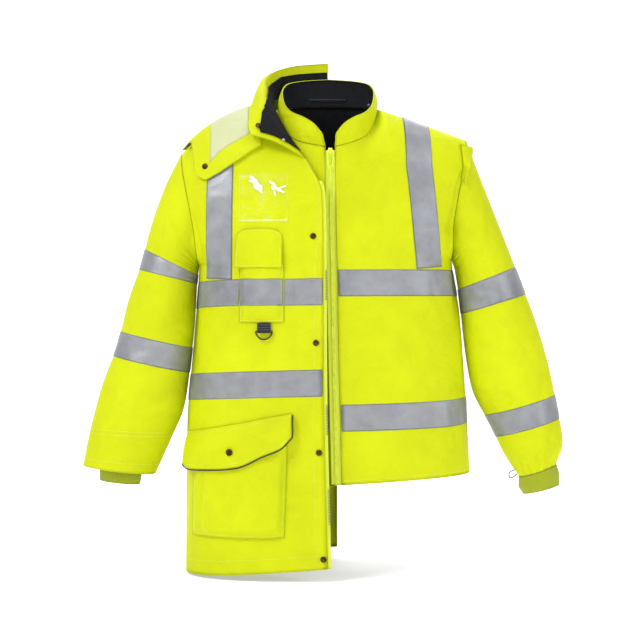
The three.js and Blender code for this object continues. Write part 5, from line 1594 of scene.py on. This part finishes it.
def make_cords():
    """Piping of the cargo flap, the loop for hanging and the loop at the left cuff."""
    made = []
    edge = [(s, 0.0) for s in np.linspace(0.02, 1, 90)] + [(1.0, t) for t in np.linspace(0.12, 0.92, 30)]
    s, t = np.array(edge).T
    x, z = flap_place(s, t)
    x = x + np.where(t > 0, 2.6, np.maximum(0, s - 0.9) * 18)
    z = z - np.where(t > 0, 0.0, 2.6)
    u, v = spot(coat_front, x, z)
    path = coat_front.at(u, v, flap_height(s, t) - 0.4)
    cloth = Cloth()
    tube(cloth, path, 1.35, 12)
    made.append(cloth.make("cargo_flap_piping", [finish("piping")], ["flap_piping"], "piping"))

    s = np.linspace(-1, 1, 60)
    path = inner_collar.at(s * 0.09, 0.2 + 0.04 * s * s, -(5.2 + 1.9 + 3 * (1 - s * s)))
    cloth = Cloth()
    tube(cloth, path, 1.4, 12)
    made.append(cloth.make("hanging_loop", [finish("elastic")], ["hanger_loop"], "black_cloth"))

    turns = [(363, -671.5), (355, -675), (351.5, -681), (354.5, -687.5), (361, -685), (366.5, -679.8)]
    rows = Table("x z", turns).at(np.linspace(0, len(turns) - 1, 60))
    path = xyz(rows["x"], np.full(60, -46.0), rows["z"])
    cloth = Cloth()
    tube(cloth, path, 1.1, 12)
    made.append(cloth.make("cuff_elastic_loop", [finish("elastic")], ["cuff_loop"], "black_cloth"))
    return made


def smooth_loop(points, count):
    """A closed curve through the points, as that many places."""
    points = np.asarray(points, float)
    t = np.linspace(0, len(points), count, endpoint=False)
    i = t.astype(int)
    f = (t - i)[:, None]
    a, b, c, d = (points[(i + k) % len(points)] for k in (-1, 0, 1, 2))
    square, cube = 2 * a - 5 * b + 4 * c - d, 3 * b - a - 3 * c + d
    return 0.5 * (2 * b + (c - a) * f + square * f ** 2 + cube * f ** 3)


def beside_edge(surf, v, x, back):
    """Places beside a front's edge: x is along X from it, back is behind its outer face."""
    v, x = np.broadcast_arrays(np.asarray(v, float), np.asarray(x, float))
    p = surf.at(np.zeros(v.shape), v)
    return p + np.stack([x, np.full(x.shape, float(back)), np.zeros(x.shape)], axis=-1)


def facing_front(p):
    n = np.zeros_like(p)
    n[..., 1] = -1
    return n


def make_zip_tape(name, surf, v1, x0, x1, back, wall, kind, node, slot):
    v, x = np.meshgrid(np.linspace(0, v1, 220), np.linspace(x0, x1, 12), indexing="ij")
    p = beside_edge(surf, v, x, back)
    cloth = Cloth()
    cloth.wall(p, wall, facing_front(p), lengths(p), slots=(0, 0, 0))
    obj = cloth.make(name, [finish(kind)], [node], slot)
    return declare(obj, p)


ZIP_MIDDLE = -10.0


def make_slider():
    """The slider of the inner jacket's zip, and the wire pull that turns on its arch."""
    top = inner_left.at(0.0, TOP - 0.24) + np.array([ZIP_MIDDLE, 0, 0])
    cloth = Cloth()
    plate = [(0.6, -6), (2.0, -6), (2.9, -5), (3.3, -2.5), (3.3, 2.5), (2.9, 5), (2.0, 6), (0.6, 6)]
    slab(cloth, top, plate, 8.0, round_edge=0.5)
    arch = [(2.6, -3.4), (4.2, -3.2), (6, -2.5), (7.1, -1.1), (7.2, 1.1), (6, 2.5), (4.2, 3.2), (2.6, 3.4)]
    bow = Table("d h", arch).at(np.linspace(0, 7, 40))
    for x in (-0.75, 0.0, 0.75):
        path = np.stack([np.full(40, top[0] + x), top[1] - bow["d"], top[2] + bow["h"]], axis=1)
        tube(cloth, path, 0.6, 10)
    slider = cloth.make("zip_slider_body", [finish("teeth")], ["jacket_zip_slider"], "zip_teeth")

    pin = top + np.array([0, -5.2, 0])
    lean, long, half = math.radians(6.02), 29.0, 6.0
    outline = [(-1, 0), (-0.5, 0), (0.5, 0), (1, 0), (1, 0.3), (0.8, 0.75), (0.6, 1), (-0.6, 1),
               (-0.8, 0.75), (-1, 0.3)]
    path = smooth_loop([(pin[0] + half * s, pin[1] - long * t * math.sin(lean),
                         pin[2] - long * t * math.cos(lean)) for s, t in outline], 110)
    cloth = Cloth()
    tube(cloth, path, 1.05, 14, True)
    pull = cloth.make("zip_pull_wire", [finish("teeth")], ["jacket_zip_pull"], "zip_teeth", "zip_pull")
    return [slider, pull]


RING_X, RING_Y, RING_Z = -120.0, -153.80, -402.5


def make_ring():
    """The folded webbing tab below the phone pocket, and the ring that swings in it."""
    arc = np.linspace(math.pi, 2 * math.pi + 1.2, 40)
    legs = [(0.95, h) for h in np.linspace(16, 0.6, 18)]
    legs += [(3.7 + 2.75 * math.cos(a), 2.75 * math.sin(a)) for a in arc]
    legs += [(2.75, h) for h in np.linspace(5.2, 16, 16)]
    path = np.array(legs)
    ahead = unit(np.gradient(path, axis=0))
    out = np.stack([ahead[:, 1], -ahead[:, 0]], axis=1)
    rows = path + out * 0.65
    x = np.linspace(-12.5, 12.5, 26)
    back = RING_Y + 3.7
    y, z = (back - rows[:, 0])[:, None], (RING_Z + rows[:, 1])[:, None]
    p = np.stack(np.broadcast_arrays(x + RING_X, y, z), axis=-1)
    n = np.broadcast_to(np.stack([np.zeros(len(out)), -out[:, 0], out[:, 1]], axis=1)[:, None], p.shape)
    cloth = Cloth()
    cloth.wall(p, 1.2, n, lengths(p), slots=(0, 0, 0))
    tab = cloth.make("ring_tab_webbing", [finish("webbing")], ["d_ring_tab"], "black_cloth")
    declare(tab, p)
    for h in (7.5, 12.5):
        k = int(np.argmin(np.abs(path[60:, 1] - h))) + 60
        stitch(p[k, 2:-2], n[k, 2:-2], "grey_thread", 0.1)

    outline = [(s, 0.0) for s in np.linspace(-1, 1, 6)]
    outline += [(math.cos(math.pi * t), math.sin(math.pi * t)) for t in np.linspace(0.1, 0.9, 11)]
    path = smooth_loop([(RING_X + 15 * s, RING_Y, RING_Z - 15 * t) for s, t in outline], 140)
    cloth = Cloth()
    tube(cloth, path, 1.45, 16, True)
    ring = cloth.make("ring_moulding", [finish("plastic")], ["d_ring"], "black_plastic", "d_ring")
    return [tab, ring]


def make_flange():
    """The cover over the inner jacket's left armhole seam."""
    a = np.linspace(0.3, 0.7, 80)
    height = left_hole(a)[:, 2]
    front = a <= 0.5
    v = np.where(front, row_at(inner_left, np.ones(80), height), row_at(inner_back_all, np.ones(80), height))

    def on_body(u, lift):
        u = np.full(80, u)
        return np.where(front[:, None], inner_left.at(u, v, lift), inner_back_all.at(u, v, lift))

    rows = [on_body(0.93, 3.8), on_body(1.0, 6.0), left_arm.at(a, np.full(80, 0.2), 8.0)]
    t = np.linspace(0, 1, 14)[:, None, None]
    p = rows[0] * (1 - t) * (1 - 2 * t) + rows[1] * 4 * t * (1 - t) + rows[2] * t * (2 * t - 1)
    n = unit(np.cross(np.gradient(p, axis=1), np.gradient(p, axis=0)))
    if n[..., 0].mean() < 0:
        n = -n
    cloth = Cloth()
    cloth.wall(p, 1.4, n, lengths(p), slots=(0, 0, 0))
    obj = cloth.make("armhole_cover", [finish("hi_vis")], ["shoulder_flange"], "hi_vis_cloth")
    stitch(p[-2, 1:-1] + n[-2, 1:-1] * 0.1, n[-2, 1:-1])
    return [declare(obj, p)]


# What repeats: stitches and zip teeth, set along lines by Geometry Nodes

class Repeat:
    """A node tree that sets one small shape along lines, again and again."""

    def __init__(self, name, shape):
        self.tree = bpy.data.node_groups.new(name, "GeometryNodeTree")
        self.sockets = {}
        self.open_socket("Geometry", "NodeSocketGeometry", "OUTPUT")
        self.open_socket("Geometry", "NodeSocketGeometry")
        for label, kind in (("Pitch", "Float"), ("Size", "Vector"), ("Unevenness", "Float"), ("Seed", "Int"),
                            ("Material", "Material")):
            self.sockets[label] = self.open_socket(label, "NodeSocket" + kind)
        entry, result = self.node("NodeGroupInput"), self.node("NodeGroupOutput")
        lines = self.node("GeometryNodeMeshToCurve", links={0: entry.outputs["Geometry"]})
        spaced = self.node("GeometryNodeResampleCurve", {"mode": "LENGTH"},
                           {"Curve": lines.outputs[0], "Length": entry.outputs["Pitch"]})
        tangent = self.node("GeometryNodeInputTangent")
        facing = self.node("GeometryNodeInputNamedAttribute", {"data_type": "FLOAT_VECTOR"})
        facing.inputs["Name"].default_value = "facing"
        turned = self.node("FunctionNodeAlignRotationToVector", {"axis": "X"}, {"Vector": tangent.outputs[0]})
        upright = self.node("FunctionNodeAlignRotationToVector", {"axis": "Z", "pivot_axis": "X"},
                            {"Rotation": turned.outputs[0], "Vector": facing.outputs[0]})
        low = self.node("ShaderNodeMath", {"operation": "SUBTRACT"}, {1: entry.outputs["Unevenness"]})
        low.inputs[0].default_value = 1.0
        high = self.node("ShaderNodeMath", {"operation": "ADD"}, {1: entry.outputs["Unevenness"]})
        high.inputs[0].default_value = 1.0
        chance = self.node("FunctionNodeRandomValue", {"data_type": "FLOAT"},
                           {2: low.outputs[0], 3: high.outputs[0], "Seed": entry.outputs["Seed"]})
        scaled = self.node("ShaderNodeVectorMath", {"operation": "SCALE"},
                           {0: entry.outputs["Size"], "Scale": chance.outputs[1]})
        form = shape(self)
        placed = self.node("GeometryNodeInstanceOnPoints", {},
                           {"Points": spaced.outputs[0], "Instance": form, "Rotation": upright.outputs[0],
                            "Scale": scaled.outputs[0]})
        real = self.node("GeometryNodeRealizeInstances", {}, {0: placed.outputs[0]})
        dressed = self.node("GeometryNodeSetMaterial", {},
                            {"Geometry": real.outputs[0], "Material": entry.outputs["Material"]})
        self.tree.links.new(dressed.outputs[0], result.inputs[0])

    def open_socket(self, label, kind, way="INPUT"):
        return self.tree.interface.new_socket(label, in_out=way, socket_type=kind).identifier

    def node(self, kind, settings=None, links=None):
        node = self.tree.nodes.new(kind)
        for key, value in (settings or {}).items():
            setattr(node, key, value)
        for key, socket in (links or {}).items():
            self.tree.links.new(socket, node.inputs[key])
        return node

    def run(self, name, paths, pitch, size, material, unevenness=0.0, seed=7):
        """Makes the shapes along each (points, normals), in millimetres, as one plain mesh."""
        points = np.concatenate([p for p, n in paths]) * MM
        normals = np.concatenate([n for p, n in paths])
        edges, start = [], 0
        for p, n in paths:
            edges += [(k, k + 1) for k in range(start, start + len(p) - 1)]
            start += len(p)
        guide = bpy.data.meshes.new(name + "_guide")
        guide.from_pydata(points.tolist(), edges, [])
        layer = guide.attributes.new("facing", "FLOAT_VECTOR", "POINT")
        layer.data.foreach_set("vector", normals.astype(np.float32).ravel())
        obj = put(name, guide)
        nodes = obj.modifiers.new("repeat", "NODES")
        nodes.node_group = self.tree
        values = {"Pitch": pitch, "Size": size, "Unevenness": unevenness, "Seed": seed, "Material": material}
        for label, value in values.items():
            nodes[self.sockets[label]] = value
        bpy.context.view_layer.update()
        graph = bpy.context.evaluated_depsgraph_get()
        mesh = bpy.data.meshes.new_from_object(obj.evaluated_get(graph), depsgraph=graph)
        obj.modifiers.remove(nodes)
        obj.data = mesh
        mesh.name = name
        mesh.polygons.foreach_set("use_smooth", np.ones(len(mesh.polygons), bool))
        bpy.data.meshes.remove(guide)
        return obj


def bead(repeat):
    """A small round bead, one metre across before it is scaled."""
    ball = repeat.node("GeometryNodeMeshIcoSphere")
    ball.inputs["Radius"].default_value = 0.5
    ball.inputs["Subdivisions"].default_value = 1
    return ball.outputs["Mesh"]


def tooth(repeat):
    """A moulded tooth: a block with its corners rounded off."""
    block = repeat.node("GeometryNodeMeshCube")
    block.inputs["Size"].default_value = (1.0, 1.0, 1.0)
    soft = repeat.node("GeometryNodeSubdivisionSurface", {}, {"Mesh": block.outputs["Mesh"]})
    soft.inputs["Level"].default_value = 1
    soft.inputs["Edge Crease"].default_value = 0.55
    return soft.outputs["Mesh"]


def make_zips():
    """Zip tapes behind the fronts' edges, the closed chain and the coat's open row of teeth."""
    sizes = bpy.context.scene.jacket_trim
    made = [
        make_zip_tape("inner_zip_tape", inner_left, 7.8, -27, 7, 4.0, 1.2, "zip_tape", "jacket_zip_tape",
                      "hi_vis_cloth"),
        make_zip_tape("coat_zip_tape_cloth", coat_front, 6.4, -9, 6.5, 3.2, 1.2, "zip_tape", "coat_zip_tape",
                      "hi_vis_cloth"),
    ]
    v, x = np.meshgrid(np.linspace(0, 7.78, 200), np.linspace(ZIP_MIDDLE - 2.2, ZIP_MIDDLE + 2.2, 6),
                       indexing="ij")
    p = beside_edge(inner_left, v, x, 2.3)
    cloth = Cloth()
    cloth.wall(p, 1.5, facing_front(p), lengths(p), slots=(0, 0, 0))
    core = cloth.make("inner_zip_core", [finish("teeth")], ["jacket_zip_chain"], "zip_teeth")
    made.append(core)
    teeth = Repeat("zip_teeth_in_rows", tooth)
    pitch = sizes.tooth / MM
    rows = []
    for side, start in ((-1, 0.0), (1, 0.5)):
        v = np.linspace(0.012 + start * 0.02, 7.72, 500)
        line = beside_edge(inner_left, v, ZIP_MIDDLE + side * 1.35, 1.75)
        rows.append((line, facing_front(line)))
    made.append(settle(teeth.run("inner_zip_teeth", rows, sizes.tooth, (pitch * 0.52 * MM, 0.0034, 0.0016),
                                 finish("teeth"))))
    v = np.linspace(0.45, 6.3, 500)
    line = beside_edge(coat_front, v, 5.4, 3.0)
    made.append(settle(teeth.run("coat_zip_teeth", [(line, facing_front(line))], sizes.tooth,
                                 (pitch * 0.52 * MM, 0.0036, 0.0022), finish("coat_teeth"))))
    return made + make_slider()


def make_stitching():
    """Sews the hems and seams, and every other line that the pieces asked for."""
    sizes = bpy.context.scene.jacket_trim
    turn = np.linspace(0, 1, 260)
    lines_round = [(coat_arm, 0, 1, v) for v in (6.8, 6.9, 7.72)] + [
        (coat_front, 0.004, 0.99, 0.2), (coat_back, 0.004, 0.99, 0.2), (inner_left, 0.004, 0.99, 0.07),
        (inner_back_all, -0.99, 0.99, 0.07)]
    for surf, start, end, v in lines_round:
        u = mix(start, end, turn)
        stitch(surf.at(u, v + 0 * u, 0), surf.normal(u, v + 0 * u), "thread", 0.3)
    v = np.linspace(0.06, 7.35, 420)
    for surf, u in ((coat_front, 0.022), (coat_back, 0.03)):
        stitch(surf.at(u + 0 * v, v, 0), surf.normal(u + 0 * v, v), "thread", 0.3)
    sewing = Repeat("sewing", bead)
    made = []
    for kind, paths in STITCHES.items():
        groups = [paths[k:k + 60] for k in range(0, len(paths), 60)]
        for number, group in enumerate(groups):
            size = (sizes.stitch * 0.74, sizes.thread, sizes.thread * 0.8)
            name = "%s_stitches_%d" % (kind, number + 1)
            made.append(settle(sewing.run(name, group, sizes.stitch, size, finish(kind), 0.12, 11)))
    return made


# Stage

def make_stage():
    sizes = bpy.context.scene.jacket_stage
    floor_z = CAD_BOX[0][2] - 0.004   # 4 mm below the lowest solid
    verts, faces, steps = [], [], 24
    for k in range(steps + 1):
        # A pale sweep: floor, a wide cove and a wall behind the jacket.
        if k < 8:
            y, z = -6.0 + k * 1.1, 0.0
        elif k < 18:
            a = (k - 8) / 10 * math.pi / 2
            y, z = 2.8 + 2.0 * math.sin(a), 2.0 * (1 - math.cos(a))
        else:
            y, z = 4.8, 2.0 + (k - 17) * 0.9
        for x in (-9.0, 9.0):
            verts.append((x, y, z + floor_z))
    for k in range(steps):
        faces.append((2 * k, 2 * k + 1, 2 * k + 3, 2 * k + 2))
    mesh = bpy.data.meshes.new("studio_sweep")
    mesh.from_pydata(verts, [], faces)
    mesh.polygons.foreach_set("use_smooth", np.ones(len(faces), bool))
    sweep = put("studio_sweep", mesh)
    paper = Finish("studio_paper", Base_Color=(0.93, 0.93, 0.93, 1.0), Specular_IOR_Level=0.1,
                   Emission_Color=(1.0, 1.0, 1.0, 1.0), Emission_Strength=0.36)
    grain = paper.noise(3.0, 3.0, 0.5)
    paper.set("Base Color", paper.blend(grain, (0.92, 0.92, 0.92, 1.0), (0.95, 0.95, 0.95, 1.0)))
    paper.set("Roughness", grain.fit(0.0, 1.0, 0.8, 0.95))
    mesh.materials.append(paper.material)

    world = bpy.data.worlds.new("studio")
    world.use_nodes = True
    background = world.node_tree.nodes["Background"]
    background.inputs["Color"].default_value = (1.0, 1.0, 1.0, 1.0)
    background.inputs["Strength"].default_value = sizes.fill
    bpy.context.scene.world = world
    bpy.context.scene.view_settings.view_transform = "Standard"
    for name, place, size, power in (
        ("key_left", (-2.5, -2.3, 2.5), 1.6, sizes.key),
        ("key_right", (2.9, -2.2, 1.2), 2.0, sizes.key * 0.42),
        ("top", (0.0, 0.4, 3.0), 2.6, sizes.key * 0.6),
        ("low_front", (0.2, -3.4, -0.9), 1.8, sizes.key * 0.22),
        ("back", (0.6, 2.6, 1.2), 2.0, sizes.key * 0.3),
    ):
        light = bpy.data.lights.new(name, "AREA")
        light.energy, light.size = power, size
        lamp = put(name, light)
        lamp.location = place
        aim = np.array([0.0, 0.0, -0.4]) - np.array(place)
        lamp.rotation_euler = Vector(aim).to_track_quat("-Z", "Y").to_euler()

    camera = bpy.data.cameras.new("camera")
    camera.sensor_width = 36.0
    camera.lens = sizes.lens
    eye = put("camera", camera)
    eye.location = (-0.015, -3.130, -0.381)
    eye.rotation_euler = (math.pi / 2, 0, 0)
    bpy.context.scene.camera = eye


# Settings, operators and the sidebar panel

class JacketClothSettings(bpy.types.PropertyGroup):
    """Cloth, lining and knit"""
    hi_vis: FloatVectorProperty(name="Hi-vis colour", description="Colour of the main cloth", subtype="COLOR",
                                size=3, min=0.0, max=1.0, default=(0.600, 0.668, 0.003))
    glow: FloatProperty(name="Fluorescence", description="Light that the dye gives back", default=0.05,
                        min=0.0)
    thread_pitch: FloatProperty(name="Thread pitch", description="Distance between threads of the weave",
                                default=0.00062, min=0.0001, unit="LENGTH", precision=5)
    lining: FloatProperty(name="Lining wall", description="Thickness of the fleece that shows",
                          default=0.0016, min=0.0005, unit="LENGTH", precision=4)
    cuff_ribs: IntProperty(name="Cuff ribs", description="Ribs round a knit cuff", default=72, min=8)


class JacketTrimSettings(bpy.types.PropertyGroup):
    """Tape, stitches and zips"""
    tape_width: FloatProperty(name="Tape width", description="Width of the reflective tape", default=0.05,
                              min=0.02, unit="LENGTH")
    stitch: FloatProperty(name="Stitch length", description="Length of one stitch with its gap",
                          default=0.0036, min=0.001, unit="LENGTH", precision=4)
    thread: FloatProperty(name="Thread", description="Thickness of the sewing thread", default=0.0007,
                          min=0.0001, unit="LENGTH", precision=4)
    tooth: FloatProperty(name="Tooth pitch", description="Distance between teeth on one side of a zip",
                         default=0.0028, min=0.001, unit="LENGTH", precision=4)


class JacketStageSettings(bpy.types.PropertyGroup):
    """Camera and lights"""
    lens: FloatProperty(name="Lens", description="Focal length of the camera", default=89.4, min=10.0,
                        unit="CAMERA")
    key: FloatProperty(name="Key light", description="Power of the main light", default=116.0, unit="POWER")
    fill: FloatProperty(name="Fill", description="Strength of the light from all round", default=0.27)


class JacketPiece:
    """What the operators share."""
    bl_options = {"REGISTER", "UNDO"}
    make = None

    def execute(self, context):
        type(self).make()
        return {"FINISHED"}


class JACKET_OT_body(JacketPiece, bpy.types.Operator):
    """Makes the fronts and backs of the coat and of the inner jacket"""
    bl_idname = "jacket.body"
    bl_label = "Body panels"
    make = staticmethod(make_body)


class JACKET_OT_sleeves(JacketPiece, bpy.types.Operator):
    """Makes the zip-off sleeve and the two inner sleeves"""
    bl_idname = "jacket.sleeves"
    bl_label = "Sleeves"
    make = staticmethod(make_sleeves)


class JACKET_OT_collars(JacketPiece, bpy.types.Operator):
    """Makes both collars, their fleece and the facing of the hem"""
    bl_idname = "jacket.collars"
    bl_label = "Collars and linings"
    make = staticmethod(make_collars)


class JACKET_OT_cuffs(JacketPiece, bpy.types.Operator):
    """Makes the two ribbed knit cuffs"""
    bl_idname = "jacket.cuffs"
    bl_label = "Knit cuffs"
    make = staticmethod(make_cuffs)


class JACKET_OT_tapes(JacketPiece, bpy.types.Operator):
    """Makes the reflective tape on the coat and on the inner jacket"""
    bl_idname = "jacket.tapes"
    bl_label = "Reflective tape"
    make = staticmethod(make_tapes)


class JACKET_OT_pockets(JacketPiece, bpy.types.Operator):
    """Makes the coat's pockets and their flaps"""
    bl_idname = "jacket.pockets"
    bl_label = "Pockets and flaps"
    make = staticmethod(make_pockets)


class JACKET_OT_shoulder(JacketPiece, bpy.types.Operator):
    """Makes the flap over the coat's shoulder, its panel and its studs"""
    bl_idname = "jacket.shoulder"
    bl_label = "Shoulder flap"
    make = staticmethod(make_shoulder_flap)


class JACKET_OT_flange(JacketPiece, bpy.types.Operator):
    """Makes the cover over the left armhole seam"""
    bl_idname = "jacket.flange"
    bl_label = "Armhole cover"
    make = staticmethod(make_flange)


class JACKET_OT_studs(JacketPiece, bpy.types.Operator):
    """Makes the press studs of the placket, the collars and the cargo flap"""
    bl_idname = "jacket.studs"
    bl_label = "Press studs"
    make = staticmethod(make_studs)


class JACKET_OT_cords(JacketPiece, bpy.types.Operator):
    """Makes the piping, the hanging loop and the elastic loop"""
    bl_idname = "jacket.cords"
    bl_label = "Piping and loops"
    make = staticmethod(make_cords)


class JACKET_OT_zips(JacketPiece, bpy.types.Operator):
    """Makes the zips with their teeth, the slider and its pull"""
    bl_idname = "jacket.zips"
    bl_label = "Zips"
    make = staticmethod(make_zips)


class JACKET_OT_ring(JacketPiece, bpy.types.Operator):
    """Makes the webbing tab and its ring"""
    bl_idname = "jacket.ring"
    bl_label = "Tab and ring"
    make = staticmethod(make_ring)


class JACKET_OT_stitching(JacketPiece, bpy.types.Operator):
    """Sews the hems, the seams and the edges of the pieces"""
    bl_idname = "jacket.stitching"
    bl_label = "Stitching"
    make = staticmethod(make_stitching)


class JACKET_OT_stage(JacketPiece, bpy.types.Operator):
    """Makes the floor, the lights and the camera"""
    bl_idname = "jacket.stage"
    bl_label = "Stage"
    make = staticmethod(make_stage)


PIECES = (
    JACKET_OT_stage, JACKET_OT_body, JACKET_OT_sleeves, JACKET_OT_collars, JACKET_OT_cuffs, JACKET_OT_tapes,
    JACKET_OT_pockets, JACKET_OT_shoulder, JACKET_OT_flange, JACKET_OT_studs, JACKET_OT_cords, JACKET_OT_zips,
    JACKET_OT_ring, JACKET_OT_stitching,
)


class JACKET_PT_sidebar(bpy.types.Panel):
    """Lists the pieces and their sizes"""
    bl_idname = "JACKET_PT_sidebar"
    bl_label = "Hi-vis work jacket"
    bl_space_type = "VIEW_3D"
    bl_region_type = "UI"
    bl_category = "Jacket"

    def draw(self, context):
        layout = self.layout
        for operator in PIECES:
            layout.operator(operator.bl_idname)
        for group in (context.scene.jacket_cloth, context.scene.jacket_trim, context.scene.jacket_stage):
            box = layout.box()
            for key in group.__annotations__:
                box.prop(group, key)


SETTINGS = {"jacket_cloth": JacketClothSettings, "jacket_trim": JacketTrimSettings,
            "jacket_stage": JacketStageSettings}


def register():
    for cls in (*SETTINGS.values(), *PIECES, JACKET_PT_sidebar):
        bpy.utils.register_class(cls)
    for name, cls in SETTINGS.items():
        setattr(bpy.types.Scene, name, PointerProperty(type=cls))


def unregister():
    for name in SETTINGS:
        delattr(bpy.types.Scene, name)
    for cls in reversed((*SETTINGS.values(), *PIECES, JACKET_PT_sidebar)):
        bpy.utils.unregister_class(cls)


def main():
    register()
    for operator in PIECES:
        group, name = operator.bl_idname.split(".")
        getattr(getattr(bpy.ops, group), name)()


if __name__ == "__main__":
    main()
